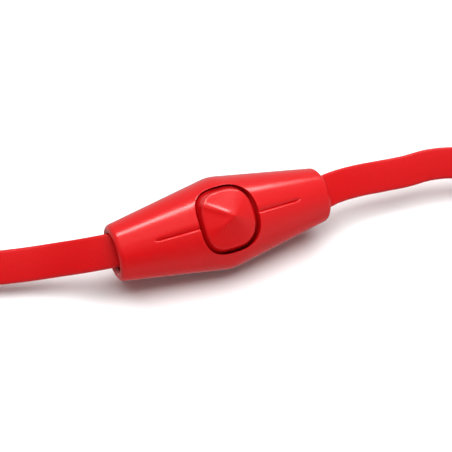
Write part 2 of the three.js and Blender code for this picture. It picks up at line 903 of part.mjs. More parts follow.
function bands() {
  const leadHalf = leadHank.outerOffset + lead.thickness / 2;
  const branchHalf = branchHank.outerOffset + branchHank.pitch + branch.thickness / 2;
  const branchHeight = 2 * branch.width + branchHank.layerGap;
  return [
    part('lead_band_near', hankBand(leadHank.bandX[0], leadHank.centreY, leadHalf, lead.width), 'silicone'),
    part('lead_band_far', hankBand(leadHank.bandX[1], leadHank.centreY, leadHalf, lead.width), 'silicone'),
    part('branch_band', hankBand(branchHank.bandX, branchHank.centreY, branchHalf, branchHeight), 'silicone'),
  ];
}

// A flat capsule moulded round the place where the ribbon divides into two.
function splitterBody() {
  const { length, height, endHeight, thickness, bevel } = splitter;
  const [a, b, c] = [length / 2 - bevel, height / 2 - bevel, endHeight / 2 - bevel];
  const round = 1.2;
  const shape = new THREE.Shape();
  shape.moveTo(-a + round, -c);
  shape.lineTo(0, -b);
  shape.lineTo(a - round, -c);
  shape.quadraticCurveTo(a, -c, a, -c + round);
  shape.lineTo(a, c - round);
  shape.quadraticCurveTo(a, c, a - round, c);
  shape.lineTo(0, b);
  shape.lineTo(-a + round, c);
  shape.quadraticCurveTo(-a, c, -a, c - round);
  shape.lineTo(-a, -c + round);
  shape.quadraticCurveTo(-a, -c, -a + round, -c);
  const geometry = new THREE.ExtrudeGeometry(shape, {
    depth: thickness - 2 * bevel,
    bevelThickness: bevel,
    bevelSize: bevel,
    bevelSegments: 3,
    curveSegments: 4,
  });
  geometry.rotateX(Math.PI / 2);
  const x = splitter.startX + length / 2;
  return geometry.translate(x, branchHank.centreY + thickness / 2 - bevel, splitter.centreZ);
}

// ---- the plug, its axis along X and its pin pointing to -X ---------------------------------

function plugParts() {
  const rear = plug.cableX;
  const seatX = rear - plug.reliefLength;
  const shoulder = seatX - plug.housingLength;
  const { chamfer, housingRadius, housingRearRadius, pinRadius, socketDepth } = plug;
  const socket = pinRadius + seat;
  const housing = turnedAlongX(
    [
      [0, seatX],
      [housingRearRadius - chamfer, seatX],
      [housingRearRadius, seatX - chamfer],
      [housingRadius, shoulder + 3 * chamfer],
      [housingRadius, shoulder + chamfer],
      [housingRadius - chamfer, shoulder],
      [socket, shoulder],
      [socket, shoulder + socketDepth],
      [0, shoulder + socketDepth],
    ],
    32,
  );
  const relief = [[0, rear], [plug.reliefEndRadius, rear]];
  const step = (plug.reliefLength - 1) / plug.ribs;
  for (let i = 0; i < plug.ribs; i += 1) {
    const share = (i + 1) / plug.ribs;
    const radius = plug.reliefEndRadius + (plug.reliefRadius - plug.reliefEndRadius) * share;
    const x = rear - 0.6 - i * step;
    relief.push([radius, x], [radius, x - step * 0.62], [radius - 0.45, x - step * 0.66], [radius - 0.45, x - step]);
  }
  const reliefEnd = seatX + seat;
  relief.push([plug.reliefRadius, reliefEnd], [0, reliefEnd]);

  const names = ['sleeve', 'insulator_1', 'ring_2', 'insulator_2', 'ring_1', 'insulator_3'];
  const tipStart = shoulder - plug.pinLength + plug.tipLength;
  const bands3 = 3 * plug.insulatorLength + 2 * plug.ringLength;
  const sleeveEnd = tipStart + bands3;
  const pieces = [];
  let x = shoulder + socketDepth - seat;
  for (const name of names) {
    const length = name.startsWith('ring') ? plug.ringLength : plug.insulatorLength;
    const end = name === 'sleeve' ? sleeveEnd : x - length;
    const radius = name.startsWith('insulator') ? pinRadius - 0.06 : pinRadius;
    const tube = turnedAlongX([[0, x], [radius, x], [radius, end + 0.02], [0, end + 0.02]], 24);
    pieces.push([`plug_${name}`, tube, name.startsWith('insulator') ? 'black' : 'gold']);
    x = end;
  }
  const end = shoulder - plug.pinLength;
  const tip = turnedAlongX(
    [
      [0, x],
      [pinRadius, x],
      [pinRadius, x - 0.5],
      [plug.waistRadius, x - 1.3],
      [pinRadius - 0.05, x - 2.0],
      [pinRadius * 0.55, end + 0.35],
      [0, end],
    ],
    24,
  );
  pieces.push(['plug_tip', tip, 'gold']);
  pieces.push(['plug_housing', housing, 'glossRed'], ['plug_strain_relief', turnedAlongX(relief, 22), 'softRed']);
  return pieces.map(([name, geometry, look]) => {
    const mesh = part(name, geometry, look);
    mesh.position.set(0, plug.axisY, housingRadius);
    return mesh;
  });
}

// ---- an earbud, upright on its flat back, in its own frame ---------------------------------

function earbudRadius(z) {
  return earbud.baseRadius + ((earbud.bellyRadius - earbud.baseRadius) * z) / earbud.bellyHeight;
}

function rearHousing() {
  const { baseRadius, bellyRadius, bellyHeight, wall, sides, stemRadius, stemZ } = earbud;
  const cup = turned(
    [
      [0, 0],
      [baseRadius - 0.5, 0],
      [baseRadius + 0.1, 0.35],
      [earbudRadius(bellyHeight * 0.7), bellyHeight * 0.7],
      [bellyRadius, bellyHeight],
      [bellyRadius, bellyHeight + 0.35],
      [bellyRadius - wall, bellyHeight + 0.35],
      [earbudRadius(bellyHeight * 0.7) - wall, bellyHeight * 0.7],
      [baseRadius - wall + 0.2, wall],
      [0, wall],
    ],
    sides,
  );
  const wireHole = turnedAlongX([[0, 0], [stemRadius * 0.4, 0], [stemRadius * 0.4, 9], [0, 9]], 14);
  return cut(cup, wireHole.translate(0, 0, stemZ));
}

function frontHousing() {
  const { bellyRadius, bellyHeight, neckRadius, neckHeight, nozzleRadius, nozzleTop } = earbud;
  const { nozzleLip, nozzleBore, wall, sides, screenRadius } = earbud;
  const start = bellyHeight + 0.35 + seat;
  const recess = 0.5;
  return turned(
    [
      [bellyRadius, start],
      [bellyRadius - 0.15, start + 0.5],
      [neckRadius, neckHeight - 0.6],
      [nozzleRadius, neckHeight],
      [nozzleRadius, nozzleTop - 0.9],
      [nozzleRadius + nozzleLip, nozzleTop - 0.7],
      [nozzleRadius + nozzleLip * 0.6, nozzleTop],
      [screenRadius + seat, nozzleTop],
      [screenRadius + seat, nozzleTop - recess],
      [nozzleBore, nozzleTop - recess],
      [nozzleBore, neckHeight - 0.6],
      [bellyRadius - wall - 0.15, start + 0.9],
      [bellyRadius - wall, start],
      [bellyRadius, start],
    ],
    sides,
  );
}

function earTip() {
  const { nozzleRadius, nozzleLip, nozzleBore, nozzleTop, neckHeight, tipRadius, tipTop, tipWall, sides } = earbud;
  const bore = nozzleRadius + nozzleLip + seat;
  const tube = bore + tipWall;
  const skirtEnd = neckHeight + 0.9;
  return turned(
    [
      [bore, neckHeight + 0.35],
      [tube, neckHeight + 0.35],
      [tube, tipTop - 1.9],
      [tipRadius - 1.5, tipTop - 2.3],
      [tipRadius - tipWall - 0.15, tipTop - 3.7],
      [tipRadius - tipWall, skirtEnd],
      [tipRadius, skirtEnd],
      [tipRadius - 0.12, tipTop - 3.4],
      [tipRadius - 0.9, tipTop - 1.6],
      [tipRadius - 2.2, tipTop - 0.4],
      [tipRadius - 3.2, tipTop],
      [nozzleBore, tipTop - 0.3],
      [nozzleBore, nozzleTop + 0.3],
      [bore, nozzleTop + 0.3],
      [bore, neckHeight + 0.35],
    ],
    sides,
  );
}

// The driver: a steel basket with the magnet and its plate, the coil in the gap, the diaphragm over.
function driverParts() {
  const { driverRadius, driverBottom, driverTop, magnetRadius } = earbud;
  const sides = 18;
  const sheet = 0.35;
  const basket = turned(
    [
      [0.8, driverBottom],
      [driverRadius - 0.6, driverBottom],
      [driverRadius, driverBottom + 0.9],
      [driverRadius, driverTop],
      [driverRadius - sheet, driverTop],
      [driverRadius - sheet, driverBottom + 0.95],
      [driverRadius - 0.8, driverBottom + sheet],
      [0.8, driverBottom + sheet],
      [0.8, driverBottom],
    ],
    sides,
  );
  const magnetBottom = driverBottom + sheet + seat;
  const magnetTop = magnetBottom + 0.9;
  const magnet = disc(magnetRadius, magnetBottom, magnetTop, sides);
  const plate = disc(magnetRadius, magnetTop + seat, magnetTop + seat + 0.4, sides);
  const coil = ring(magnetRadius + 0.12, magnetRadius + 0.42, magnetBottom + 0.4, driverTop - 0.55, sides);
  const under = driverTop - 0.5;
  const diaphragm = turned(
    [
      [0, under + 0.55],
      [1.5, under + 0.42],
      [magnetRadius, under],
      [3.3, under + 0.3],
      [driverRadius - sheet - 0.1, under],
      [driverRadius - sheet - 0.1, under + 0.12],
      [3.3, under + 0.42],
      [magnetRadius, under + 0.12],
      [1.5, under + 0.54],
      [0, under + 0.67],
    ],
    sides,
  );
  return [['driver_basket', basket, 'steel'], ['driver_magnet', magnet, 'magnet'], ['driver_plate', plate, 'steel'],
    ['voice_coil', coil, 'copper'], ['diaphragm', diaphragm, 'film']];
}

// The soft stem that the ribbon leaves by, cut to sit on the rear housing's cone.
function stem() {
  const { stemZ, stemRadius, stemEndX, bellyHeight, baseRadius } = earbud;
  const body = turnedAlongX(
    [
      [0, 3.5],
      [stemRadius, 3.5],
      [stemRadius, 7.2],
      [stemRadius * 0.86, 8.6],
      [stemRadius * 0.8, 11.2],
      [stemRadius * 0.72, stemEndX],
      [0, stemEndX],
    ],
    20,
  ).translate(0, 0, stemZ);
  const clear = 0.12;
  const housing = turned(
    [
      [0, -1],
      [baseRadius + clear - 0.36, -1],
      [earbudRadius(bellyHeight) + clear, bellyHeight],
      [earbudRadius(bellyHeight) + clear, bellyHeight + 6],
      [0, bellyHeight + 6],
    ],
    64,
  );
  return cut(body, housing);
}

function earbudGroup(name, side) {
  const group = new THREE.Group();
  group.add(
    part(`rear_housing_${name}`, rearHousing(), 'glossRed'),
    part(`front_housing_${name}`, frontHousing(), 'glossRed'),
    part(`ear_tip_${name}`, earTip(), 'silicone'),
    part(`strain_relief_${name}`, stem(), 'softRed'),
    part(
      `nozzle_screen_${name}`,
      disc(earbud.screenRadius, earbud.nozzleTop - 0.42, earbud.nozzleTop - 0.42 + earbud.screenThickness, 24),
      'steel',
    ),
  );
  for (const [piece, geometry, look] of driverParts()) group.add(part(`${piece}_${name}`, geometry, look));
  group.position.set(earbud.offsetX, branchHank.centreY + side * earbud.offsetY, 0);
  return group;
}

// ---- assembly -----------------------------------------------------------------------------

const earphones = new THREE.Group();
const own = new THREE.Group();
own.add(controlGroup(), earbudGroup('left', 1), earbudGroup('right', -1));
earphones.add(own, cordGroup(), ...bands(), part('splitter_body', splitterBody(), 'glossRed'), ...plugParts());

// The origin is under the middle of the control and the earbuds, on the ground plane.
const reach = new THREE.Box3().setFromObject(own, true);
earphones.position.set(-(reach.min.x + reach.max.x) / 2, -(reach.min.y + reach.max.y) / 2, 0);
const { x: originX, y: originY } = earphones.position.clone().negate();
console.log(`origin at x ${originX.toFixed(4)}, y ${originY.toFixed(4)} of the control's frame`);

export default earphones;
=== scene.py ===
import json
import math

import bmesh
import bpy
from mathutils import Matrix, Vector


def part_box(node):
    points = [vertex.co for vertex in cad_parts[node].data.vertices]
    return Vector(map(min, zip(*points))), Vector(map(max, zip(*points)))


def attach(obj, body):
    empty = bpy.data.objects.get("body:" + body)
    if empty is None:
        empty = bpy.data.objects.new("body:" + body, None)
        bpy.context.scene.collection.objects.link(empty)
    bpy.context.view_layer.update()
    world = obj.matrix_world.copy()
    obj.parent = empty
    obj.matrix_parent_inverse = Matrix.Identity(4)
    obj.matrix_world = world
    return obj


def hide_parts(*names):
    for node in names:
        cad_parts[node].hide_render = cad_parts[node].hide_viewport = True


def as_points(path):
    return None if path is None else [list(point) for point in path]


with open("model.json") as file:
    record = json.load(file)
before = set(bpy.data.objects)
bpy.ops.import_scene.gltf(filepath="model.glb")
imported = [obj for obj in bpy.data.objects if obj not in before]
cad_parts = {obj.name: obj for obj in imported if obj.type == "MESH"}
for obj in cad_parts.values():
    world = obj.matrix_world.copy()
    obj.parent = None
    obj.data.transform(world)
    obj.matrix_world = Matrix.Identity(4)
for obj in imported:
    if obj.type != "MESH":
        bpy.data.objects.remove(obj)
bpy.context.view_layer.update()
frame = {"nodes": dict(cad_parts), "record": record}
root = "earphones"
mm = 0.001
print("frame loaded,", len(frame["nodes"]), "nodes")

# Sizes and routes below are in the drawing's millimetres, where the control's middle is at x 0, y 0
# and its axis runs along X. This is where that point lies in the frame.
shellLow = Vector(map(min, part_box("front_shell")[0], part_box("rear_shell")[0]))
shellHigh = Vector(map(max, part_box("front_shell")[1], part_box("rear_shell")[1]))
drawingShift = Vector(((shellLow.x + shellHigh.x) / 2, (shellLow.y + shellHigh.y) / 2, 0))


def place(x, y, z):
    return drawingShift + Vector((x, y, z)) * mm


def addObject(name, data):
    thing = bpy.data.objects.new(name, data)
    bpy.context.scene.collection.objects.link(thing)
    return thing


def linear(hexColour):
    channels = [int(hexColour[i:i + 2], 16) / 255 for i in (1, 3, 5)]
    return [c / 12.92 if c <= 0.04045 else ((c + 0.055) / 1.055) ** 2.4 for c in channels] + [1]


def addNode(tree, kind, settings=None, links=None):
    node = tree.nodes.new(kind)
    for key, value in (settings or {}).items():
        if key in node.inputs:
            node.inputs[key].default_value = value
        else:
            setattr(node, key, value)
    for key, socket in (links or {}).items():
        tree.links.new(socket, node.inputs[key])
    return node


# The socket's value, taken from between two limits to between two ends.
def fade(tree, socket, limits, ends, kind="SMOOTHSTEP"):
    node = addNode(tree, "ShaderNodeMapRange", {"interpolation_type": kind}, {"Value": socket})
    for name, value in zip(("From Min", "From Max", "To Min", "To Max"), (*limits, *ends)):
        node.inputs[name].default_value = value
    return node.outputs["Result"]


def newMaterial(name, settings):
    material = bpy.data.materials.new(name)
    material.use_nodes = True
    tree = material.node_tree
    tree.nodes.clear()
    shader = addNode(tree, "ShaderNodeBsdfPrincipled", settings)
    addNode(tree, "ShaderNodeOutputMaterial", links={"Surface": shader.outputs[0]})
    return material, tree, shader


noiseSpan = (0.3, 0.7)  # most of the noise's values lie between these


# A material from its colour, roughness and grain. The grain is noise in the object's own space,
# stretched along the axes that grainMm gives, and it varies the roughness and the relief.
def grainMaterial(spec):
    look = {"IOR": spec.get("ior", 1.5), "Metallic": spec.get("metallic", 0),
            "Specular IOR Level": spec.get("specular", 0.5)}
    material, tree, shader = newMaterial(spec["name"], look)
    where = addNode(tree, "ShaderNodeTexCoord")
    stretched = addNode(tree, "ShaderNodeVectorMath", {"operation": "MULTIPLY"}, {0: where.outputs["Object"]})
    stretched.inputs[1].default_value = [1 / (size * mm) for size in spec["grainMm"]]
    grain = addNode(tree, "ShaderNodeTexNoise", {"Scale": 1, "Detail": spec.get("detail", 2)},
                    {"Vector": stretched.outputs["Vector"]})
    bump = addNode(tree, "ShaderNodeBump", {"Strength": spec["relief"], "Distance": spec["depthMm"] * mm},
                   {"Height": grain.outputs["Fac"]})
    middle, spread = spec["roughness"], spec["roughSpread"]
    rough = fade(tree, grain.outputs["Fac"], noiseSpan, (middle - spread, middle + spread), "LINEAR")
    colours = {"data_type": "RGBA", "A": linear(spec["colour"]), "B": linear(spec["shade"])}
    shades = addNode(tree, "ShaderNodeMix", colours, {"Factor": grain.outputs["Fac"]})
    tree.links.new(shades.outputs["Result"], shader.inputs["Base Color"])
    tree.links.new(rough, shader.inputs["Roughness"])
    tree.links.new(bump.outputs["Normal"], shader.inputs["Normal"])
    return material


# The materials, by the record's slots.
slotSpecs = {
    # Acrylonitrile butadiene styrene, moulded in a polished tool: a deep even colour under a clear
    # mirror-like skin, with the faint ripple that a polished tool leaves.
    "red_gloss": {
        "name": "polished red ABS",
        "colour": "#bd0c10", "shade": "#b90a0e", "roughness": 0.2, "roughSpread": 0.02,
        "ior": 1.54, "specular": 0.32,
        "grainMm": (2.5, 2.5, 2.5), "relief": 0.15, "depthMm": 0.02, "detail": 1,
    },
    # Thermoplastic elastomer, extruded as a flat ribbon: a soft sheen and fine mottling.
    "red_cord": {
        "name": "extruded red TPE",
        "colour": "#ba0c10", "shade": "#ab080c", "roughness": 0.42, "roughSpread": 0.08, "specular": 0.18,
        "grainMm": (0.35, 0.35, 0.35), "relief": 0.3, "depthMm": 0.015, "detail": 4,
    },
    # The same elastomer moulded over the cord's ends in a spark-eroded tool.
    "red_soft": {
        "name": "moulded red TPE",
        "colour": "#c81419", "shade": "#bd1116", "roughness": 0.5, "roughSpread": 0.06, "specular": 0.3,
        "grainMm": (0.16, 0.16, 0.16), "relief": 0.3, "depthMm": 0.02,
    },
    # Liquid silicone rubber, moulded: dark and smooth, with a dusty bloom.
    "silicone": {
        "name": "moulded silicone",
        "colour": "#26262a", "shade": "#2f2f33", "roughness": 0.46, "roughSpread": 0.08, "specular": 0.4,
        "grainMm": (0.6, 0.6, 0.6), "relief": 0.15, "depthMm": 0.02, "detail": 4,
    },
    # Glass-filled nylon, moulded: fibres show as a fine streaky grain.
    "black_plastic": {
        "name": "moulded glass-filled nylon",
        "colour": "#18181a", "shade": "#222225", "roughness": 0.5, "roughSpread": 0.1,
        "grainMm": (0.5, 0.08, 0.08), "relief": 0.3, "depthMm": 0.01, "detail": 3,
    },
    # Stainless steel strip, stamped: rolling lines along one way.
    "steel": {
        "name": "stamped stainless steel",
        "colour": "#b9bbbe", "shade": "#a8aaae", "roughness": 0.3, "roughSpread": 0.08, "metallic": 1,
        "grainMm": (1.5, 0.05, 0.05), "relief": 0.25, "depthMm": 0.005,
    },
    # Brass, turned and gold plated: fine turning rings square to the plug's axis.
    "gold": {
        "name": "gold-plated turned brass",
        "colour": "#e3bd72", "shade": "#d8ad5e", "roughness": 0.2, "roughSpread": 0.05, "metallic": 1,
        "grainMm": (0.05, 3, 3), "relief": 0.25, "depthMm": 0.004,
    },
    # Enamelled copper wire, wound in fine turns about the driver's axis.
    "copper": {
        "name": "wound enamelled copper",
        "colour": "#b8693a", "shade": "#8d4824", "roughness": 0.3, "roughSpread": 0.08, "metallic": 1,
        "grainMm": (3, 3, 0.06), "relief": 0.6, "depthMm": 0.02,
    },
    # Sintered magnet, barrel plated with nickel: slightly grainy.
    "magnet_grey": {
        "name": "nickel-plated sintered magnet",
        "colour": "#5a5c60", "shade": "#484a4e", "roughness": 0.35, "roughSpread": 0.1, "metallic": 1,
        "grainMm": (0.2, 0.2, 0.2), "relief": 0.4, "depthMm": 0.01, "detail": 3,
    },
    # Fired ceramic chip bodies.
    "ceramic": {
        "name": "fired ceramic",
        "colour": "#c9b48a", "shade": "#b59d6e", "roughness": 0.6, "roughSpread": 0.08,
        "grainMm": (0.1, 0.1, 0.1), "relief": 0.4, "depthMm": 0.01, "detail": 3,
    },
    # Polyester film, hot formed.
    "film": {
        "name": "formed polyester film",
        "colour": "#d8d8d2", "shade": "#cbcbc4", "roughness": 0.3, "roughSpread": 0.06,
        "grainMm": (0.8, 0.8, 0.8), "relief": 0.1, "depthMm": 0.01,
    },
    # Glass epoxy board under green solder mask, whose weave shows through.
    "board_green": {
        "name": "solder-masked glass epoxy",
        "colour": "#1f6b3a", "shade": "#195c31", "roughness": 0.35, "roughSpread": 0.06,
        "grainMm": (0.25, 0.9, 0.5), "relief": 0.3, "depthMm": 0.01,
    },
}
slotMaterials = {slot: grainMaterial(spec) for slot, spec in slotSpecs.items()}
print("materials made")


# The camera stands 150 mm from the control, 40 degrees above it and 24 degrees to its left.
cameraSpec = {
    "place": (-46.413, -105.309, 102.713),
    "right": (0.91171, -0.41084, 0),
    "up": (0.26436, 0.58665, 0.76548),
    "focalPixels": 1102.5,
    "framePixels": 452,
    "sensorMm": 36,
    "clip": (0.001, 10),
}


def setCamera():
    spec = cameraSpec
    data = bpy.data.cameras.new("camera")
    data.sensor_width = spec["sensorMm"]
    data.lens = spec["sensorMm"] * spec["focalPixels"] / spec["framePixels"]
    data.clip_start, data.clip_end = spec["clip"]
    camera = addObject("camera", data)
    right = Vector(spec["right"]).normalized()
    back = right.cross(Vector(spec["up"])).normalized()
    turn = Matrix((right, back.cross(right), back)).transposed()
    camera.matrix_world = Matrix.Translation(place(*spec["place"])) @ turn.to_4x4()
    bpy.context.scene.camera = camera


stageSpec = {"size": 3.0, "colour": "#e6e6e6", "roughness": 0.9, "specular": 0.1}


def setStage():
    mesh = bpy.data.meshes.new("floor")
    bm = bmesh.new()
    bmesh.ops.create_grid(bm, x_segments=1, y_segments=1, size=stageSpec["size"] / 2)
    bm.to_mesh(mesh)
    bm.free()
    floor = addObject("floor", mesh)
    look = {"Base Color": linear(stageSpec["colour"]), "Roughness": stageSpec["roughness"],
            "Specular IOR Level": stageSpec["specular"]}
    material = newMaterial("white paper sweep", look)[0]
    mesh.materials.append(material)
    floor.visible_glossy = False


# The studio's brightness behind the object and on the camera's side, low behind it and below it, each
# with the shares of its direction between which it fades. The lights' sizes are in metres.
lightSpec = {
    "behind": 0.55, "camera": 0.01, "cameraSide": (-0.39, -0.88, -0.26), "falloff": (0.35, 0.9),
    "lowBehind": 0.45, "lowFrom": (0.42, 0.68), "below": 0.29, "belowFrom": (0.3, 0.62),
    "contact": 0.05, "contactFrom": (0.88, 0.98),
    "softbox": {"place": (120, -36, 2400), "size": (3.48, 2.88), "watts": 158, "slant": 0},
    "fill": {"place": (0, -1980, 1020), "size": (3.6, 1.8), "watts": 15, "slant": 0},
    "strip": {"place": (75, 150, 400), "size": (0.45, 0.08), "watts": 1.7, "slant": 0.11},
}


# A studio that is pale behind and above the object, unlit on the camera's side and pale below.
def setWorld():
    spec = lightSpec
    world = bpy.data.worlds.new("studio")
    bpy.context.scene.world = world
    world.use_nodes = True
    tree = world.node_tree
    where = addNode(tree, "ShaderNodeTexCoord").outputs["Generated"]
    towards = addNode(tree, "ShaderNodeVectorMath", {"operation": "DOT_PRODUCT"}, {0: where})
    towards.inputs[1].default_value = spec["cameraSide"]
    down = addNode(tree, "ShaderNodeVectorMath", {"operation": "DOT_PRODUCT"}, {0: where})
    down.inputs[1].default_value = (0, 0, -1)
    level = fade(tree, towards.outputs["Value"], spec["falloff"], (spec["behind"], spec["camera"]))
    lower = fade(tree, down.outputs["Value"], spec["lowFrom"], (1, spec["lowBehind"]))
    sides = addNode(tree, "ShaderNodeMath", {"operation": "MULTIPLY"}, {0: level, 1: lower})
    below = fade(tree, down.outputs["Value"], spec["belowFrom"], (0, spec["below"]))
    contact = fade(tree, down.outputs["Value"], spec["contactFrom"], (1, spec["contact"] / spec["below"]))
    ground = addNode(tree, "ShaderNodeMath", {"operation": "MULTIPLY"}, {0: below, 1: contact})
    both = addNode(tree, "ShaderNodeMath", {"operation": "MAXIMUM"},
                   {0: sides.outputs[0], 1: ground.outputs[0]})
    background = tree.nodes["Background"]
    background.inputs["Color"].default_value = (1, 1, 1, 1)
    tree.links.new(both.outputs[0], background.inputs["Strength"])
    world.cycles_visibility.diffuse = False


# The softbox and the weak fill in front light the set, and the strip draws the streaks along the gloss.
def setLight():
    bpy.context.scene.view_settings.view_transform = "Standard"
    setWorld()
    for name in ("softbox", "fill", "strip"):
        spec = lightSpec[name]
        data = bpy.data.lights.new(name, "AREA")
        data.shape = "RECTANGLE"
        data.size, data.size_y = spec["size"]
        data.energy = spec["watts"]
        lamp = addObject(name, data)
        lamp.location = place(*spec["place"])
        back = (lamp.location - place(0, 0, 0)).normalized()
        across = back.cross(Vector((1, spec["slant"], 0))).normalized()
        lamp.rotation_euler = Matrix((across.cross(back), across, back)).transposed().to_euler()
        lamp.visible_camera = False
        lamp.visible_glossy = name == "strip"
        lamp.visible_diffuse = name != "strip"


setCamera()
setStage()
setLight()
print("camera, stage and light set")


leadSpec = {"width": 4.6, "thickness": 1.3, "edge": 0.45, "crown": 0.12}
branchSpec = {"width": 2.2, "thickness": 1.3, "edge": 0.45, "crown": 0.05}
groundGap = 0.8  # a hank lies on its bands
cordGap = 0.03  # between a cord's end and the piece that it goes into
buttonLean = math.radians(47)
onEdge = math.pi / 2

leadLeftRoute = [
    (-13.7, 0.2, 6.75), (-15.4, 0.35, 6.78), (-17.3, 1.1, 6.35), (-19.4, 2.25, 5.65),
    (-21.6, 3.55, 4.9), (-24.0, 4.7, 4.3), (-26.3, 5.6, 3.95), (-28.2, 6.3, 3.75), (-32.5, 7.9, 3.4),
    (-37.5, 9.3, 3.2), (-43, 10.6, 3.1), (-49, 11.5, 3.1), (-53.5, 11.8, 3.1),
]
leadPlugRoute = [
    (-61.5, 6.3, 3.1), (-65, 5.4, 3.1), (-68.5, 3.6, 3.1), (-72, 1.5, 3.1), (-74.5, 0.4, 3.12),
    (-77, 0.03, 3.45), (-79.7, 0, 3.7),
]
leadRightRoute = [
    (13.7, 0, 6.5), (15.4, 0, 6.5), (18.2, 0.8, 6.2), (22.4, 1.35, 5.7), (26.1, 1.25, 5.4), (29.9, 0.9, 5.3),
    (34.2, 0.55, 5.5), (38, -0.5, 5.4), (41.7, -1.7, 4.8), (45, -2.6, 4.1), (47.7, -3, 3.7), (50.7, -3, 3.6),
]


def halfTurn(x, y, radius, start, turn, z, steps=12):
    angles = [start + turn * math.pi * i / steps for i in range(steps + 1)]
    return [(x + radius * math.cos(a), y + radius * math.sin(a), z) for a in angles]


leadHankSpec = {"centreY": -3, "startX": -58, "run": 58, "outerOffset": 14.8, "pitch": 1.8, "turns": 3}


# The lead's hank spirals in on edge, one pitch a turn, from its far side's run.
def leadHankRoute():
    spec = leadHankSpec
    centreY, startX, pitch = spec["centreY"], spec["startX"], spec["pitch"]
    z = groundGap + leadSpec["width"] / 2
    farX = startX - spec["run"]
    route = [(startX, centreY + spec["outerOffset"], z)]
    for turn in range(spec["turns"]):
        offset = spec["outerOffset"] - turn * pitch
        route.append((startX - spec["run"] / 2, centreY + offset, z))
        route += halfTurn(farX, centreY, offset, math.pi / 2, 1, z)
        route.append((startX - spec["run"] / 2, centreY - offset, z))
        route += halfTurn(startX, centreY - pitch / 2, offset - pitch / 2, -math.pi / 2, 1, z)
    return route


branchHankSpec = {
    "centreY": -3, "startX": 79, "run": 31.5, "outerOffset": 8.25, "pitch": 1.75, "layerGap": 0.3,
}
splitterSpec = {"startX": 51, "length": 13, "height": 7, "endHeight": 5.6, "thickness": 4.2, "centreZ": 3.6,
                "endRound": 1.2, "waistRound": 1.6, "rimRound": 0.7}
earbudSpec = {"x": 54, "offsetY": 9.75, "stemZ": 4.0}


def layerHeight(side):
    lower = groundGap + branchSpec["width"] / 2
    return lower if side > 0 else lower + branchSpec["width"] + branchHankSpec["layerGap"]


# A branch's hank spirals in, crosses its own middle on a slant, spirals out again between its
# first turns and goes once more round the end. The other branch is its mirror a layer higher.
def branchHankRoute(side):
    spec = branchHankSpec
    startX, run, pitch, first = spec["startX"], spec["run"], spec["pitch"], spec["outerOffset"]
    endX, midX, half = startX + run, startX + run / 2, pitch / 2
    second, third = first - pitch, first - 2 * pitch
    z = layerHeight(side)

    def at(x, y):
        return (x, spec["centreY"] + side * y, z)

    def bend(x, y, radius, start, turn):
        return halfTurn(x, spec["centreY"] + side * y, radius, side * start, side * turn, z)

    up, steps = math.pi / 2, 8
    slant = [at(startX + run * i / steps, third * math.cos(math.pi * i / steps)) for i in range(1, steps)]
    return (
        [at(startX, first), at(midX, first)]
        + bend(endX, half, first - half, up, -1) + [at(midX, -second)]
        + bend(startX, -half, second - half, -up, -1) + slant
        + bend(endX, half, second - half, -up, 1) + [at(midX, second)]
        + bend(startX, -half, first - half, up, 1) + [at(midX, -first)]
        + bend(endX, half, first + half, -up, 1)
    )


def branchStartRoute(side):
    spec = splitterSpec
    y, z = branchHankSpec["centreY"], layerHeight(side)
    outX = spec["startX"] + spec["length"] + cordGap
    outZ = spec["centreZ"] - side * (branchSpec["width"] + branchHankSpec["layerGap"]) / 2
    return [
        (outX, y, outZ), (outX + 1.6, y + side * 0.05, outZ), (67.6, y + side * 0.9, z),
        (70.2, y + side * 3.4, z), (72.6, y + side * 6.0, z), (75, y + side * 7.75, z),
        (77, y + side * 8.22, z),
    ]


def earbudLeadRoute(side):
    low, high = layerHeight(1), layerHeight(side)
    centreY = branchHankSpec["centreY"]
    y = centreY + side * (branchHankSpec["outerOffset"] + branchHankSpec["pitch"])
    stemY, stemZ = centreY + side * earbudSpec["offsetY"], earbudSpec["stemZ"]
    stemEnd = earbudSpec["x"] + earbudShape["stemEnd"] + cordGap
    return [
        (107.5, y, high), (103, y, high + (low - high) * 0.25), (97, y, high + (low - high) * 0.8),
        (92, y, low), (86, y, low + 0.1), (80, y, low + 0.7), (75.5, y, low + 1.5),
        (71.5, (y + stemY) / 2, stemZ - 0.15),
        (68.8, stemY, stemZ), (stemEnd, stemY, stemZ),
    ]


# The four rounded corners of a flat bar's section, each a list of points.
def sectionCorners(spec, steps):
    edge = spec["edge"]
    flat, side = spec["width"] / 2 - edge, spec["thickness"] / 2 - edge
    corners = []
    for quarter, (sx, sy) in enumerate([(1, 1), (-1, 1), (-1, -1), (1, -1)]):
        turns = [math.pi / 2 * (quarter + i / steps) for i in range(steps + 1)]
        corners.append([(sx * flat + edge * math.cos(a), sy * side + edge * math.sin(a)) for a in turns])
    return corners


# A ribbon's section: faces with a slight crown and well-rounded edges.
def ribbonSection(name, spec):
    steps = 4
    data = bpy.data.curves.new(name, "CURVE")
    data.dimensions = "2D"
    line = data.splines.new("POLY")
    flat, height = spec["width"] / 2 - spec["edge"], spec["thickness"] / 2
    shares = [i / steps for i in range(steps - 1, -steps, -1)]
    crown = [(share * flat, height + spec["crown"] * (1 - share ** 2)) for share in shares]
    corners = sectionCorners(spec, steps)
    points = corners[0] + crown + corners[1] + corners[2] + [(-x, -y) for x, y in crown] + corners[3]
    line.points.add(len(points) - 1)
    for point, (x, y) in zip(line.points, points):
        point.co = (x * mm, y * mm, 0, 1)
    line.use_cyclic_u = True
    return addObject(name, data)


def routeCurve(name, route, rollAt):
    data = bpy.data.curves.new(name, "CURVE")
    data.dimensions = "3D"
    data.twist_mode = "Z_UP"
    data.resolution_u = 8  # steps from one point of the route to the next
    line = data.splines.new("BEZIER")
    line.bezier_points.add(len(route) - 1)
    for point, spot in zip(line.bezier_points, route):
        point.co = place(*spot)
        point.handle_left_type = point.handle_right_type = "AUTO"
        point.tilt = rollAt(spot[0])
    return data


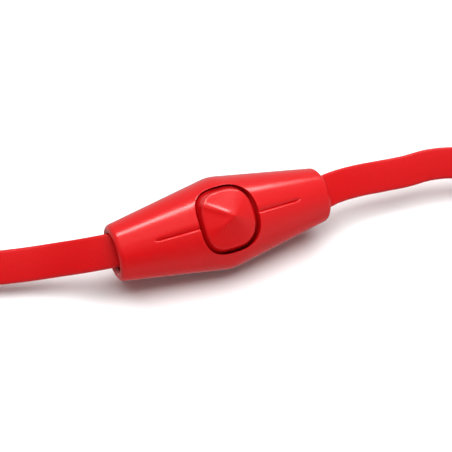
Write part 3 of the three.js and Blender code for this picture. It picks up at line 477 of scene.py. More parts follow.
def evaluatedMesh(carrier):
    bpy.context.view_layer.update()
    return bpy.data.meshes.new_from_object(carrier.evaluated_get(bpy.context.evaluated_depsgraph_get()))


def curveMesh(name, data):
    carrier = addObject(name, data)
    mesh = evaluatedMesh(carrier)
    bpy.data.objects.remove(carrier)
    return mesh


# Writes a bmesh out as a welded mesh, smooth but for edges sharper than an angle in degrees.
def writeMesh(bm, mesh, weld, sharp):
    bmesh.ops.remove_doubles(bm, verts=bm.verts, dist=weld)
    bmesh.ops.recalc_face_normals(bm, faces=bm.faces)
    bm.to_mesh(mesh)
    bm.free()
    for face in mesh.polygons:
        face.use_smooth = True
    mesh.set_sharp_from_angle(angle=math.radians(sharp))


def layRibbon(name, route, rollAt, spec):
    data = routeCurve(name + "Line", route, rollAt)
    path = [vertex.co.copy() for vertex in curveMesh(name + "Path", data).vertices]
    section = ribbonSection(name + "Section", spec)
    data.bevel_mode = "OBJECT"
    data.bevel_object = section
    data.use_fill_caps = True
    mesh = curveMesh(name + "Skin", data)
    bpy.data.objects.remove(section)
    bm = bmesh.new()
    bm.from_mesh(mesh)
    writeMesh(bm, mesh, weld=0.001 * mm, sharp=50)
    mesh.materials.clear()
    mesh.materials.append(slotMaterials["red_cord"])
    ribbon = addObject(name, mesh)
    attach(ribbon, root)
    return ribbon, path


def smoothStep(share):
    share = min(max(share, 0), 1)
    return share * share * (3 - 2 * share)


# A ribbon leaves the control's mouth leaning as the button does, and turns on edge further out.
def easedRoll(side, near, far):
    def rollAt(x):
        share = smoothStep((abs(x) - near) / (far - near))
        return side * (onEdge + (buttonLean - onEdge) * (1 - share))

    return rollAt


def pathLength(path):
    return sum((b - a).length for a, b in zip(path, path[1:]))


def slotOf(node):
    return next(row["material_slot"] for row in frame["record"]["subparts"] if row["node"] == node)


weldMm = 1e-4


# Finishes a piece built in millimetres: puts it in its place, shades it, gives it its slot's material, hangs
# it on its body and hides the frame's nodes that it stands for.
def dress(name, bm, turn, nodes, body=root, sharp=35, normals=None):
    mesh = bpy.data.meshes.new(name)
    writeMesh(bm, mesh, weldMm, sharp)
    if normals:
        mesh.normals_split_custom_set(normals(mesh))
    mesh.transform(turn)
    slot = slotOf(nodes[0])
    mesh.materials.append(slotMaterials[slot])
    piece = addObject(name, mesh)
    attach(piece, body)
    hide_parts(*nodes)
    return piece


# The frames that pieces are built in, as matrices from millimetres to the frame's metres.
def standing(x, y, z):
    return Matrix.Translation(place(x, y, z)) @ Matrix.Scale(mm, 4)


def lyingAlongX(x, y, z):
    return standing(x, y, z) @ Matrix.Rotation(math.pi / 2, 4, "Y")


# Rounds the corners of a profile given as (radius, height, fillet) points.
def rounded(corners, closed, steps=5):
    most = 0.48  # a fillet takes no more than this share of a side
    points = []
    for i, (r, h, fillet) in enumerate(corners):
        here = Vector((r, h))
        if not fillet or (not closed and i in (0, len(corners) - 1)):
            points.append(here)
            continue
        before = Vector(corners[i - 1][:2]) - here
        after = Vector(corners[(i + 1) % len(corners)][:2]) - here
        half = before.angle(after) / 2
        reach = min(fillet / math.tan(half), before.length * most, after.length * most)
        centre = here + (before.normalized() + after.normalized()).normalized() * (reach / math.cos(half))
        start, end = here + before.normalized() * reach - centre, here + after.normalized() * reach - centre
        sweep = start.angle_signed(end)
        for k in range(steps + 1):
            turn = -sweep * k / steps
            points.append(centre + Vector((start.x * math.cos(turn) - start.y * math.sin(turn),
                                           start.x * math.sin(turn) + start.y * math.cos(turn))))
    return points


# A solid of revolution about Z through (radius, height, fillet) points.
def spun(corners, closed=False, sides=96):
    bm = bmesh.new()
    line = [bm.verts.new((p.x, 0, p.y)) for p in rounded(corners, closed)]
    pairs = list(zip(line, line[1:])) + ([(line[-1], line[0])] if closed else [])
    edges = [bm.edges.new(pair) for pair in pairs]
    bmesh.ops.spin(bm, geom=line + edges, cent=(0, 0, 0), axis=(0, 0, 1), angle=2 * math.pi, steps=sides,
                   use_merge=True)
    bmesh.ops.remove_doubles(bm, verts=bm.verts, dist=weldMm)
    bmesh.ops.dissolve_degenerate(bm, dist=weldMm, edges=bm.edges)
    return bm


# The first mesh less the others, as a new bmesh.
def cutAway(*solids):
    objects = []
    for number, source in enumerate(solids):
        bmesh.ops.recalc_face_normals(source, faces=source.faces)
        mesh = bpy.data.meshes.new(f"cutting{number}")
        source.to_mesh(mesh)
        source.free()
        objects.append(addObject(f"cutting{number}", mesh))
    for cutter in objects[1:]:
        step = objects[0].modifiers.new("cut", "BOOLEAN")
        step.operation, step.solver, step.object = "DIFFERENCE", "EXACT", cutter
    result = evaluatedMesh(objects[0])
    for carrier in objects:
        bpy.data.objects.remove(carrier)
    out = bmesh.new()
    out.from_mesh(result)
    return out


# Faces from row to row of equally many points, where each row closes on itself.
def joinRows(bm, rows):
    for low, high in zip(rows, rows[1:]):
        for i in range(len(low)):
            k = (i + 1) % len(low)
            bm.faces.new((low[i], low[k], high[k], high[i]))


# A solid through rings of equally many points, closed at its ends by a face each.
def lofted(rings):
    bm = bmesh.new()
    rows = [[bm.verts.new(point) for point in ring] for ring in rings]
    joinRows(bm, rows)
    bm.faces.new(rows[0])
    bm.faces.new(rows[-1])
    return bm


def addRod(bm, radius, length, spot):
    rod = bmesh.ops.create_cone(bm, cap_ends=True, segments=48, radius1=radius, radius2=radius, depth=length)
    bmesh.ops.translate(bm, verts=rod["verts"], vec=spot)


def addBlock(bm, size, where):
    verts = bmesh.ops.create_cube(bm, size=1)["verts"]
    bmesh.ops.scale(bm, vec=size, verts=verts)
    bmesh.ops.transform(bm, matrix=where, verts=verts)


def roundEdges(bm, edges, radius, segments=6):
    bmesh.ops.bevel(bm, geom=edges, offset=radius, offset_type="OFFSET", affect="EDGES", segments=segments,
                    profile=0.5, material=-1)


# The control's barrel, in its own frame: x along its axis and z out of the button.
barrelSpec = {
    "bellyRadius": 6.5, "endRadius": 3.8, "halfLength": 15.4, "wall": 1.15, "boreRadius": 2.8,
    "bellyFillet": 5.4, "rimFillet": 0.75, "lipDepth": 0.8, "lipReach": 0.6, "mouthRadius": 2.55,
    "mouthDepth": 1.6, "cavityHalf": 11.3, "seamGap": 0.04, "seamBevel": 0.07, "bevelBand": 0.75,
    "rimSteps": 9, "lipSteps": 8, "stepAlong": 0.22, "stepRound": math.radians(2.2),
    "fineStep": math.radians(0.55), "fineFrom": math.radians(-8), "fineTo": math.radians(15),
}
barrelSlope = (barrelSpec["bellyRadius"] - barrelSpec["endRadius"]) / barrelSpec["halfLength"]
barrelAngle = math.atan(barrelSlope)


def barrelRadius(x):
    belly, fillet = barrelSpec["bellyRadius"], barrelSpec["bellyFillet"]
    if abs(x) >= fillet * math.sin(barrelAngle):
        return belly - barrelSlope * abs(x)
    return belly - fillet / math.cos(barrelAngle) + math.sqrt(fillet ** 2 - x ** 2)


# The scoop each side of the button: a steep lower lip, a floor near it and a long soft upper flank.
scoopSpec = {
    "startX": 3, "tipX": 10.45, "low": (-0.5, -0.32), "high": (0.98, 0.62), "depth": 0.3, "floorAt": 0.27,
    "highPower": 2.6, "narrowest": 0.02, "within": 0.4,
}


def scoopDepth(x, y):
    spec = scoopSpec
    along = (abs(x) - spec["startX"]) / (spec["tipX"] - spec["startX"])
    if along >= 1:
        return 0
    along = max(along, 0)
    low = spec["low"][0] + (spec["low"][1] - spec["low"][0]) * along
    high = spec["high"][0] + (spec["high"][1] - spec["high"][0]) * along
    half = (high - low) / 2
    toTip = spec["tipX"] - abs(x)
    narrowing = 1 if toTip > half else math.sqrt(max(1 - ((half - toTip) / half) ** 2, 0))
    if narrowing < spec["narrowest"]:
        return 0
    across = 0.5 + (y - (high + low) / 2) / (2 * half * narrowing)
    if not 0 < across < 1:
        return 0
    floorAt = spec["floorAt"]
    if across < floorAt:
        return spec["depth"] * narrowing * (across / floorAt) ** 2
    return spec["depth"] * narrowing * ((1 - across) / (1 - floorAt)) ** spec["highPower"]


def surfaceRadius(x, angle):
    radius = barrelRadius(x)
    return radius - scoopDepth(x, radius * math.sin(angle)) if abs(angle) < scoopSpec["within"] else radius


# Height of the barrel's surface over a point of the button's own plane.
def surfaceHeight(x, y):
    return math.sqrt(barrelRadius(x) ** 2 - y ** 2) - scoopDepth(x, y)


def barrelNormal(x, angle):
    stepX, stepTurn = 0.01, 0.01 / 6

    def point(x, angle):
        radius = surfaceRadius(x, angle)
        return Vector((x, radius * math.sin(angle), radius * math.cos(angle)))

    along = point(x + stepX, angle) - point(x - stepX, angle)
    around = point(x, angle + stepTurn) - point(x, angle - stepTurn)
    return around.cross(along).normalized()


# Half of the barrel's closed profile, from its middle out over the rim and back along the inside.
def barrelHalfProfile():
    spec = barrelSpec
    halfLength, fillet = spec["halfLength"], spec["rimFillet"]
    rimX = halfLength - fillet
    rimR = spec["endRadius"] + barrelSlope * fillet - fillet / math.cos(barrelAngle)
    coneEnd = rimX + fillet * math.sin(barrelAngle)
    steps = round(coneEnd / spec["stepAlong"])
    outside = [(coneEnd * i / steps, barrelRadius(coneEnd * i / steps)) for i in range(steps)]

    def arc(x, r, radius, start, end, count):
        turns = [start + (end - start) * i / count for i in range(count + 1)]
        return [(x + radius * math.sin(turn), r + radius * math.cos(turn)) for turn in turns]

    bore, opening, cavity = spec["boreRadius"], spec["mouthRadius"], spec["cavityHalf"]
    rim = arc(rimX, rimR, fillet, barrelAngle, math.pi / 2, spec["rimSteps"])
    lip = arc(0, 1, 1, math.pi / 2, math.pi, spec["lipSteps"])
    mouth = [(halfLength + (a - 1) * spec["lipDepth"], opening + b * spec["lipReach"]) for a, b in lip]
    step = halfLength - spec["mouthDepth"]
    inside = [(step, opening), (step, bore), (cavity, bore), (cavity, barrelRadius(cavity) - spec["wall"]),
              (0, spec["bellyRadius"] - spec["wall"])]
    return outside + rim + mouth + inside


# A half barrel as a grid swept through angles about the axis, with plain walls at the seam.
def halfBarrel(angles, radiusAt):
    spec = barrelSpec
    half = barrelHalfProfile()
    profile = half + [(-x, r) for x, r in reversed(half[1:-1])]
    side = 1 if math.cos(angles[len(angles) // 2]) > 0 else -1
    bm = bmesh.new()
    rows = []
    for angle in angles:
        row = []
        for x, r in profile:
            radius = radiusAt(x, angle) if abs(r - barrelRadius(x)) < 1e-6 else r
            z = side * max(side * radius * math.cos(angle), spec["seamGap"])
            row.append(bm.verts.new((x, radius * math.sin(angle), z)))
        rows.append(row)
    joinRows(bm, rows)
    walls = [bm.faces.new(rows[0]), bm.faces.new(rows[-1])]
    seam = [edge for wall in walls for edge in wall.edges]

    def isOutside(point):
        return math.hypot(point.y, point.z) > barrelRadius(point.x) - spec["bevelBand"]

    roundEdges(bm, [edge for edge in seam if all(isOutside(v.co) for v in edge.verts)], spec["seamBevel"], 2)
    return bm


def barrelAngles():
    spec = barrelSpec
    limits = (-math.pi / 2, spec["fineFrom"], spec["fineTo"], math.pi / 2)
    angles = []
    for start, end, step in zip(limits, limits[1:], (spec["stepRound"], spec["fineStep"], spec["stepRound"])):
        count = math.ceil((end - start) / step)
        angles += [start + (end - start) * i / count for i in range(count)]
    return angles + [math.pi / 2]


# Loops on the barrel's outside take the formula's normal. Zero leaves the rest their own.
def barrelNormals(mesh):
    nearby, facing = 0.02, 0.96
    edge = barrelSpec["halfLength"] - 2 * barrelSpec["rimFillet"]
    normals = []
    for face in mesh.polygons:
        for index in face.loop_indices:
            spot = mesh.vertices[mesh.loops[index].vertex_index].co
            angle = math.atan2(spot.y, spot.z)
            normal = Vector((0, 0, 0))
            if abs(spot.x) < edge and abs(math.hypot(spot.y, spot.z) - surfaceRadius(spot.x, angle)) < nearby:
                surface = barrelNormal(spot.x, angle)
                if surface.dot(face.normal) > facing:
                    normal = surface
            normals.append(normal)
    return normals


buttonSpec = {
    "centre": (-0.3, 0.17), "halfLength": 4.18, "halfWidth": 4.52, "squareness": 2.8, "edgeRound": 0.12,
    "capCentre": (-0.4, 0.17), "capHalfLength": 3.5, "capHalfWidth": 3.9, "apex": (0.0, 0.3, 7.3),
    "slopes": {"right": 0.4, "top": 0.5, "left": 0.38, "bottom": 0.58}, "softness": 2.6, "rimRound": 0.24,
    "ridgeTurn": 145, "ridgeLift": 0.1, "ridgeWidth": 0.42, "ridgeSharpness": 14, "ridgeStart": 1.2,
    "ridgeReach": 1.5, "flare": 0.42, "flareDepth": 1.2, "foot": 2.1, "aboveFoot": (0.4, 0.3, 0.1),
    "flangeReach": 0.92, "flangeWidest": 4.58, "flangeClear": 0.18, "flangeThickness": 0.9,
    "skirtWall": 0.8, "pocketTop": 4.5, "postRadius": 1.35, "postFoot": 2.24, "postSunk": 0.3,
    "cutFrom": 1.5, "cutTo": 8, "cutOver": 0.002, "ringGap": 0.02, "roundSteps": 5, "points": 300,
}


# How far from its middle a squircle with these half sizes lies in a direction.
def outlineReach(angle, halfLength, halfWidth):
    power = buttonSpec["squareness"]
    across, up = abs(math.cos(angle) / halfLength), abs(math.sin(angle) / halfWidth)
    return (across ** power + up ** power) ** (-1 / power)


# A ring of points round the cap, moved in (or out, below zero) from its edge, or round its hole.
def buttonRing(inset, heightAt, hole=False, widest=math.inf):
    spec = buttonSpec
    names = ("halfLength", "halfWidth", "centre") if hole else ("capHalfLength", "capHalfWidth", "capCentre")
    halfLength, halfWidth, (centreX, centreY) = (spec[name] for name in names)
    points = []
    for i in range(spec["points"]):
        angle = 2 * math.pi * i / spec["points"]
        reach = outlineReach(angle, halfLength - inset, halfWidth - inset)
        x, y = centreX + reach * math.cos(angle), centreY + reach * math.sin(angle)
        y = min(max(y, -widest), widest)
        points.append((x, y, heightAt(x, y)))
    return points


# What the button's hole takes out of the shell, with a small round at its edge and a flat top well over it.
def holeCutter():
    spec = buttonSpec
    edge, steps = spec["edgeRound"], spec["roundSteps"]
    rings = [buttonRing(0, lambda x, y: spec["cutFrom"], hole=True)]
    for k in range(steps + 1):
        turn = math.pi / 2 * k / steps
        out = edge * (1 - math.cos(turn))
        drop = edge * (1 - math.sin(turn)) - spec["cutOver"]
        rings.append(buttonRing(-out, lambda x, y, d=drop: surfaceHeight(x, y) - d, hole=True))
    rings.append(buttonRing(-edge - spec["ringGap"], lambda x, y: spec["cutTo"], hole=True))
    return lofted(rings)


# Height of the shell's inner surface, less the clearance over the flange.
def innerHeight(x, y):
    radius = barrelRadius(x) - barrelSpec["wall"] - buttonSpec["flangeClear"]
    return math.sqrt(max(radius ** 2 - y ** 2, 0))


# The cap's top: four facets that fall from the apex and meet in ridges, which are soft but for the
# upper left one, which is drawn up a little.
def facetHeight(x, y):
    spec = buttonSpec
    apexX, apexY, apexZ = spec["apex"]
    x, y = x - apexX, y - apexY
    slopes = spec["slopes"]
    falls = [slopes["right"] * x, slopes["top"] * y, -slopes["left"] * x, -slopes["bottom"] * y]
    ridge = math.radians(spec["ridgeTurn"])
    along = x * math.cos(ridge) + y * math.sin(ridge)
    aside = y * math.cos(ridge) - x * math.sin(ridge)
    out = min(max(along, 0) / spec["ridgeStart"], 1)
    near = math.exp(-(aside / spec["ridgeReach"]) ** 2) * smoothStep(out)
    power = spec["softness"] + (spec["ridgeSharpness"] - spec["softness"]) * near
    fall = sum(max(f, 0) ** power for f in falls) ** (1 / power)
    lift = spec["ridgeLift"] * math.exp(-(aside / spec["ridgeWidth"]) ** 2) * out
    return apexZ - fall + lift


# The cap: its top, its rounded rim, sides that flare on the way down, the flange under the shell, a
# pocket beneath and the post that pushes the switch.
def buttonCap():
    spec = buttonSpec
    apexX, apexY = spec["apex"][:2]
    rim, foot, steps = spec["rimRound"], spec["foot"], spec["roundSteps"]
    edge = buttonRing(rim, facetHeight)
    shares = [0.012, 0.03, 0.055, 0.085] + [0.12 + 0.88 * i / 22 for i in range(23)]  # closer at the apex
    rings = []
    for share in shares:
        ring = [(apexX + (x - apexX) * share, apexY + (y - apexY) * share) for x, y, z in edge]
        rings.append([(x, y, facetHeight(x, y)) for x, y in ring])
    for k in range(1, steps + 1):
        turn = math.pi / 2 * k / steps
        drop = rim * (1 - math.cos(turn))
        rings.append(buttonRing(rim * (1 - math.sin(turn)), lambda x, y, d=drop: facetHeight(x, y) - d))
    flared, outward, widest = -spec["flare"], -spec["flangeReach"], spec["flangeWidest"]
    high, middle, low = (foot + height for height in spec["aboveFoot"])
    thickness = spec["flangeThickness"]
    rings += [
        buttonRing(flared, lambda x, y: max(facetHeight(x, y) - spec["flareDepth"],
                                            innerHeight(x, y) + spec["ringGap"], high)),
        buttonRing(flared, lambda x, y: max(innerHeight(x, y), middle)),
        buttonRing(outward, lambda x, y: max(innerHeight(x, y), low), widest=widest),
        buttonRing(outward, lambda x, y: max(innerHeight(x, y) - thickness, foot), widest=widest),
        buttonRing(spec["skirtWall"], lambda x, y: foot),
        buttonRing(spec["skirtWall"], lambda x, y: spec["pocketTop"]),
    ]
    bm = lofted(rings)
    postTop = spec["pocketTop"] + spec["postSunk"]
    addRod(bm, spec["postRadius"], postTop - spec["postFoot"],
           (spec["centre"][0], 0, (postTop + spec["postFoot"]) / 2))
    return bm


controlTurn = standing(0, 0, barrelSpec["bellyRadius"]) @ Matrix.Rotation(buttonLean, 4, "X")


# The microphone's port, and the posts that carry the board.
insideSpec = {
    "portPlace": (5.2, 0, -6.2), "portRadius": 0.5, "portDepth": 4,
    "postPlace": (7.45, 2.5, -2.3), "postSize": (0.9, 1, 2.6),
}


def controlPieces():
    spec = insideSpec
    front = cutAway(halfBarrel(barrelAngles(), surfaceRadius), holeCutter())
    dress("frontShell", front, controlTurn, ["front_shell"], normals=barrelNormals)
    count = round(math.pi / barrelSpec["stepRound"])
    back = [math.pi / 2 + math.pi * i / count for i in range(count + 1)]
    port = bmesh.new()
    addRod(port, spec["portRadius"], spec["portDepth"], spec["portPlace"])
    rear = cutAway(halfBarrel(back, lambda x, angle: barrelRadius(x)), port)
    postX, postY, postZ = spec["postPlace"]
    for x in (-postX, postX):
        for y in (-postY, postY):
            addBlock(rear, spec["postSize"], Matrix.Translation((x, y, postZ)))
    dress("rearShell", rear, controlTurn, ["rear_shell"], normals=barrelNormals)
    dress("buttonCap", buttonCap(), controlTurn, ["button_cap"], body="button")


# The moulding that grips the ribbon in each mouth.
clampSpec = {
    "innerX": 8.9, "outerX": 11.1, "radius": 3.1, "noseX": 14.0, "noseRadius": 2.65, "edge": 0.25,
    "bodyEdge": 0.2, "noseFoot": 0.1, "slot": (1.2, 1.5, 4.75),
}


def clampPieces():
    spec = clampSpec
    innerX, outerX, noseX = spec["innerX"], spec["outerX"], spec["noseX"]
    radius, noseRadius, edge = spec["radius"], spec["noseRadius"], spec["bodyEdge"]
    lean = Matrix.Rotation(buttonLean - math.pi / 2, 4, "X")
    for name, side in (("Left", -1), ("Right", 1)):
        body = spun([
            (0, innerX, 0), (radius, innerX, edge), (radius, outerX, edge),
            (noseRadius, outerX, spec["noseFoot"]), (noseRadius, noseX, spec["edge"]), (0, noseX, 0),
        ])
        bmesh.ops.transform(body, matrix=Matrix.Rotation(side * math.pi / 2, 4, "Y"), verts=body.verts)
        slot = bmesh.new()
        addBlock(slot, spec["slot"], Matrix.Translation((side * noseX, 0, 0)) @ lean)
        dress("cableClamp" + name, cutAway(body, slot), standing(0, 0, barrelSpec["bellyRadius"]),
              ["cable_clamp_" + name.lower()])


# The loop of a band round a hank, as a flat strip with softened edges.
bandSpec = {
    "thickness": 0.5, "width": 5, "corner": 1.2, "gap": 0.3, "edge": 0.16, "steps": 8, "edgeSteps": 3,
    "nearX": -73, "farX": -113, "branchX": 99,
}


def layBand(name, node, x, centreY, halfWidth, height):
    spec = bandSpec
    halfThick = spec["thickness"] / 2
    radius = spec["corner"] - halfThick
    y = halfWidth + spec["gap"] + halfThick
    low, high = halfThick, groundGap + height + spec["gap"] + halfThick
    section = [point for corner in sectionCorners(spec, spec["edgeSteps"]) for point in corner]
    bm = bmesh.new()
    rows = []
    for cornerY, cornerZ, start in ((y, low, -90), (y, high, 0), (-y, high, 90), (-y, low, 180)):
        middleY = centreY + cornerY - math.copysign(radius, cornerY)
        middleZ = cornerZ + (radius if cornerZ == low else -radius)
        for i in range(spec["steps"] + 1):
            turn = math.radians(start + 90 * i / spec["steps"])
            rows.append([bm.verts.new((x + a, middleY + (radius + b) * math.cos(turn),
                                       middleZ + (radius + b) * math.sin(turn))) for a, b in section])
    joinRows(bm, rows + rows[:1])
    return dress(name, bm, standing(0, 0, 0), [node])


def bandPieces():
    spec, lead = branchHankSpec, leadHankSpec
    half = lead["outerOffset"] + leadSpec["thickness"] / 2
    branchHalf = spec["outerOffset"] + spec["pitch"] + branchSpec["thickness"] / 2
    branchHeight = 2 * branchSpec["width"] + spec["layerGap"]
    leadRow = (lead["centreY"], half, leadSpec["width"])
    branchRow = (spec["centreY"], branchHalf, branchHeight)
    return (
        layBand("leadBandNear", "lead_band_near", bandSpec["nearX"], *leadRow),
        layBand("leadBandFar", "lead_band_far", bandSpec["farX"], *leadRow),
        layBand("branchBand", "branch_band", bandSpec["branchX"], *branchRow),
    )


# The splitter: a flat lozenge, fuller in its middle, with all its edges well rounded.
def splitterPiece():
    spec = splitterSpec
    halfLong, thick = spec["length"] / 2, spec["thickness"] / 2
    middle, end = spec["height"] / 2, spec["endHeight"] / 2
    bm = bmesh.new()
    outline = [(-halfLong, -end), (0, -middle), (halfLong, -end)]
    outline += [(-x, -z) for x, z in outline]
    face = bm.faces.new([bm.verts.new((x, -thick, z)) for x, z in outline])
    grown = bmesh.ops.extrude_face_region(bm, geom=[face])
    bmesh.ops.translate(bm, verts=[v for v in grown["geom"] if isinstance(v, bmesh.types.BMVert)],
                        vec=(0, 2 * thick, 0))
    bmesh.ops.recalc_face_normals(bm, faces=bm.faces)
    near = 0.01
    ends = []
    for edge in bm.edges:
        a, b = edge.verts[0].co, edge.verts[1].co
        if abs(a.x) > halfLong - near and a.x == b.x and a.z == b.z:
            ends.append(edge)
    roundEdges(bm, ends, spec["endRound"])
    waist = [edge for edge in bm.edges if all(abs(v.co.x) < near for v in edge.verts)]
    roundEdges(bm, waist, spec["waistRound"])
    rims = [edge for edge in bm.edges if edge.calc_face_angle(0) > math.radians(60)]
    roundEdges(bm, rims, spec["rimRound"])
    where = standing(spec["startX"] + halfLong, branchHankSpec["centreY"], spec["centreZ"])
    return dress("splitterBody", bm, where, ["splitter_body"], sharp=40)


plugSpec = {
    "rear": -80, "axisZ": 3.7, "reliefLength": 9, "reliefEnd": 2.7, "reliefRadius": 3.2, "ribs": 4,
    "ribDepth": 0.45, "ribStart": 0.6, "ribSpan": 1, "ribTop": 0.62, "ribWall": 0.66,
    "housingLength": 16, "housingRadius": 3.7, "housingRear": 3.3, "socketDepth": 2, "seat": 0.08,
    "pinRadius": 1.75, "pinLength": 14, "pinEdge": 0.08, "pinGap": 0.02, "tipLength": 3.6,
    "ringLength": 2.4, "insulatorLength": 0.6, "insulatorStep": 0.06,
}


# The plug, as profiles of (radius, x, fillet): spun() takes the second as a height, which lies along X.
def makePlug():
    spec = plugSpec
    rear = spec["rear"]
    seatX, shoulder = rear - spec["reliefLength"], rear - spec["reliefLength"] - spec["housingLength"]
    pin, seat = spec["pinRadius"], spec["seat"]
    where = lyingAlongX(0, 0, spec["axisZ"])
    pieces = []

    def turn(name, node, corners):
        pieces.append(dress(name, spun(corners), where, [node], sharp=30))

    socket, socketX = pin + seat, shoulder + spec["socketDepth"]
    turn("plugHousing", "plug_housing", [
        (0, seatX, 0), (spec["housingRear"], seatX, 0.5), (spec["housingRadius"], shoulder + 1.5, 8),
        (spec["housingRadius"], shoulder, 0.55), (socket, shoulder, 0.15), (socket, socketX, 0),
        (0, socketX, 0),
    ])
    relief = [(0, rear, 0), (spec["reliefEnd"], rear, 0.3)]
    step = (spec["reliefLength"] - spec["ribSpan"]) / spec["ribs"]
    for i in range(spec["ribs"]):
        radius = spec["reliefEnd"] + (spec["reliefRadius"] - spec["reliefEnd"]) * (i + 1) / spec["ribs"]
        start, floor = rear - spec["ribStart"] - i * step, radius - spec["ribDepth"]
        relief += [(radius, start, 0.2), (radius, start - step * spec["ribTop"], 0.2),
                   (floor, start - step * spec["ribWall"], 0.15), (floor, start - step, 0.15)]
    turn("plugStrainRelief", "plug_strain_relief", relief + [
        (spec["reliefRadius"], seatX + seat, 0.1), (0, seatX + seat, 0)])
    x = socketX - seat
    pinEnd = shoulder - spec["pinLength"]
    sleeveEnd = pinEnd + spec["tipLength"] + 3 * spec["insulatorLength"] + 2 * spec["ringLength"]
    for name, node in (("plugSleeve", "plug_sleeve"), ("plugInsulatorRear", "plug_insulator_1"),
                       ("plugRingRear", "plug_ring_2"), ("plugInsulatorMiddle", "plug_insulator_2"),
                       ("plugRingFront", "plug_ring_1"), ("plugInsulatorFront", "plug_insulator_3")):
        insulator = "insulator" in node
        length = spec["insulatorLength"] if insulator else spec["ringLength"]
        end = sleeveEnd if node == "plug_sleeve" else x - length
        radius = pin - spec["insulatorStep"] if insulator else pin
        edge, stop = 0 if insulator else spec["pinEdge"], end + spec["pinGap"]
        turn(name, node, [(0, x, 0), (radius, x, edge), (radius, stop, edge), (0, stop, 0)])
        x = end
    turn("plugTip", "plug_tip", [
        (0, x, 0), (pin, x, spec["pinEdge"]), (pin, x - 0.5, 0.3), (1.25, x - 1.3, 0.5), (1.7, x - 2, 0.5),
        (pin * 0.55, pinEnd + 0.35, 0.6), (0, pinEnd, 0),
    ])
    return pieces


earbudShape = {
    "base": 4.2, "belly": 6.0, "bellyZ": 5.0, "seam": 0.35, "wall": 0.8, "neck": 3.3, "neckZ": 10.6,
    "nozzle": 2.5, "nozzleTop": 14.2, "lip": 0.25, "bore": 1.8, "tip": 5.8, "tipTop": 17.4, "tipWall": 0.6,
    "screen": 2.15, "screenThick": 0.2, "screenDrop": 0.42, "screenDome": 0.1,
    "stemRadius": 2.1, "stemEnd": 12.6, "seat": 0.08, "coneClear": 0.12,
}


def rearHousing():
    spec = earbudShape
    belly, z, wall = spec["belly"], spec["bellyZ"], spec["wall"]
    return spun([
        (0, 0, 0), (spec["base"] - 0.15, 0, 0.5), (belly, z, 0.5), (belly, z + spec["seam"], 0.08),
        (belly - wall, z + spec["seam"], 0), (spec["base"] - wall + 0.2, wall, 0.3), (0, wall, 0),
    ])


def frontHousing():
    spec = earbudShape
    start = spec["bellyZ"] + spec["seam"] + spec["seat"]
    belly, wall, neckZ, top = spec["belly"], spec["wall"], spec["neckZ"], spec["nozzleTop"]
    socket, nozzle, lip, bore = spec["screen"] + spec["seat"], spec["nozzle"], spec["lip"], spec["bore"]
    return spun([
        (belly, start, 0.08), (belly - 0.12, start + 0.5, 0.5), (spec["neck"], neckZ - 0.6, 0.8),
        (nozzle, neckZ, 0.3), (nozzle, top - 0.9, 0.1), (nozzle + lip, top - 0.7, 0.12),
        (nozzle + lip * 0.6, top, 0.12), (socket, top, 0.05), (socket, top - 0.5, 0),
        (bore, top - 0.5, 0.05), (bore, neckZ - 0.6, 0.3), (belly - wall - 0.15, start + 0.9, 0.5),
        (belly - wall, start, 0),
    ], closed=True)


def earTip():
    spec = earbudShape
    bore = spec["nozzle"] + spec["lip"] + spec["seat"]
    tube, skirtEnd, top = bore + spec["tipWall"], spec["neckZ"] + 0.9, spec["tipTop"]
    tip, wall = spec["tip"], spec["tipWall"]
    return spun([
        (bore, spec["neckZ"] + 0.35, 0.1), (tube, spec["neckZ"] + 0.35, 0.15), (tube, top - 1.9, 0.8),
        (tip - 1.5, top - 2.3, 0.8), (tip - wall - 0.15, top - 3.7, 0.8), (tip - wall, skirtEnd, 0.12),
        (tip, skirtEnd, 0.25), (tip - 0.1, top - 3.2, 2.5), (tip - 1.1, top - 1.35, 2.5),
        (tip - 2.5, top - 0.2, 1.5), (tip - 3.3, top, 0.4), (spec["bore"], top - 0.3, 0.3),
        (spec["bore"], spec["nozzleTop"] + 0.3, 0.1), (bore, spec["nozzleTop"] + 0.3, 0.1),
    ], closed=True)


# The stem with its strain relief, cut to fit against the housing's cone and belly.
def stemPiece():
    spec = earbudShape
    radius, z = spec["stemRadius"], earbudSpec["stemZ"]
    body = spun([
        (0, 3.5, 0), (radius, 3.5, 0), (radius, 7.2, 0.8), (radius * 0.86, 8.6, 0.8), (radius * 0.8, 11.2, 3),
        (radius * 0.72, spec["stemEnd"], 0.4), (0, spec["stemEnd"], 0),
    ], sides=64)
    bmesh.ops.transform(body, matrix=Matrix.Translation((0, 0, z)) @ Matrix.Rotation(math.pi / 2, 4, "Y"),
                        verts=body.verts)
    clear, base, belly, bellyZ = spec["coneClear"], spec["base"], spec["belly"], spec["bellyZ"]
    slope = (belly - base) / bellyZ
    reach, top = belly + clear, bellyZ + 6
    cone = spun([(0, -1, 0), (base + clear - slope, -1, 0), (reach, bellyZ, 0), (reach, top, 0), (0, top, 0)])
    return cutAway(body, cone)


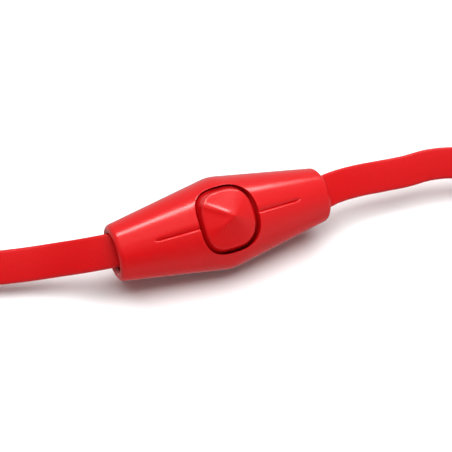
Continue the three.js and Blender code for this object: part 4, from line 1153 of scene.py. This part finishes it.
def earbudPieces():
    spec = earbudShape
    for name, side in (("Left", 1), ("Right", -1)):
        where = standing(earbudSpec["x"], branchHankSpec["centreY"] + side * earbudSpec["offsetY"], 0)
        end = "_" + name.lower()
        for piece, node, make in (("rearHousing", "rear_housing", rearHousing),
                                  ("frontHousing", "front_housing", frontHousing),
                                  ("earTip", "ear_tip", earTip), ("stem", "strain_relief", stemPiece)):
            dress(piece + name, make(), where, [node + end], sharp=50 if make is earTip else 35)
        low = spec["nozzleTop"] - spec["screenDrop"]
        high = low + spec["screenThick"]
        screen = spun([(0, low, 0), (spec["screen"], low, 0.04), (spec["screen"], high, 0.04),
                       (0, high + spec["screenDome"], 0)])
        dress("nozzleScreen" + name, screen, where, ["nozzle_screen" + end])


controlPieces()
clampPieces()
print("control made")
plugPieces = [piece.name for piece in makePlug()]
earbudPieces()
print("plug and earbuds made")
bands = [piece.name for piece in bandPieces()]
splitter = splitterPiece()
print("bands and splitter made")

plugLead, path = layRibbon("plug_lead", leadLeftRoute + leadHankRoute() + leadPlugRoute,
                           easedRoll(-1, 36, 54), leadSpec)
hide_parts("lead_left", "lead_hank", "lead_to_plug")
round(pathLength(path), 3)
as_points(path)
print("plug lead", round(pathLength(path), 3), "m")

splitterLead, path = layRibbon("splitter_lead", leadRightRoute, easedRoll(1, 37, 49.5), leadSpec)
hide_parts("lead_right")
round(pathLength(path), 3)
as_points(path)
print("splitter lead", round(pathLength(path), 3), "m")

for name, side in (("left", 1), ("right", -1)):
    start = branchStartRoute(side)
    branch, path = layRibbon("branch_cord_" + name, start + branchHankRoute(side) + earbudLeadRoute(side),
                             lambda x: onEdge, branchSpec)
    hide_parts("branch_" + name, "branch_hank_" + name, "earbud_lead_" + name)
    place(*start[0])
    round(pathLength(path), 3)
    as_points(path)
    print("branch", name, round(pathLength(path), 3), "m")

# The pieces inside keep the frame's meshes and take their slots' materials.
for row in frame["record"]["subparts"]:
    node = frame["nodes"][row["node"]]
    node.data.materials.clear()
    node.data.materials.append(slotMaterials[row["material_slot"]])
print("inner pieces coloured")
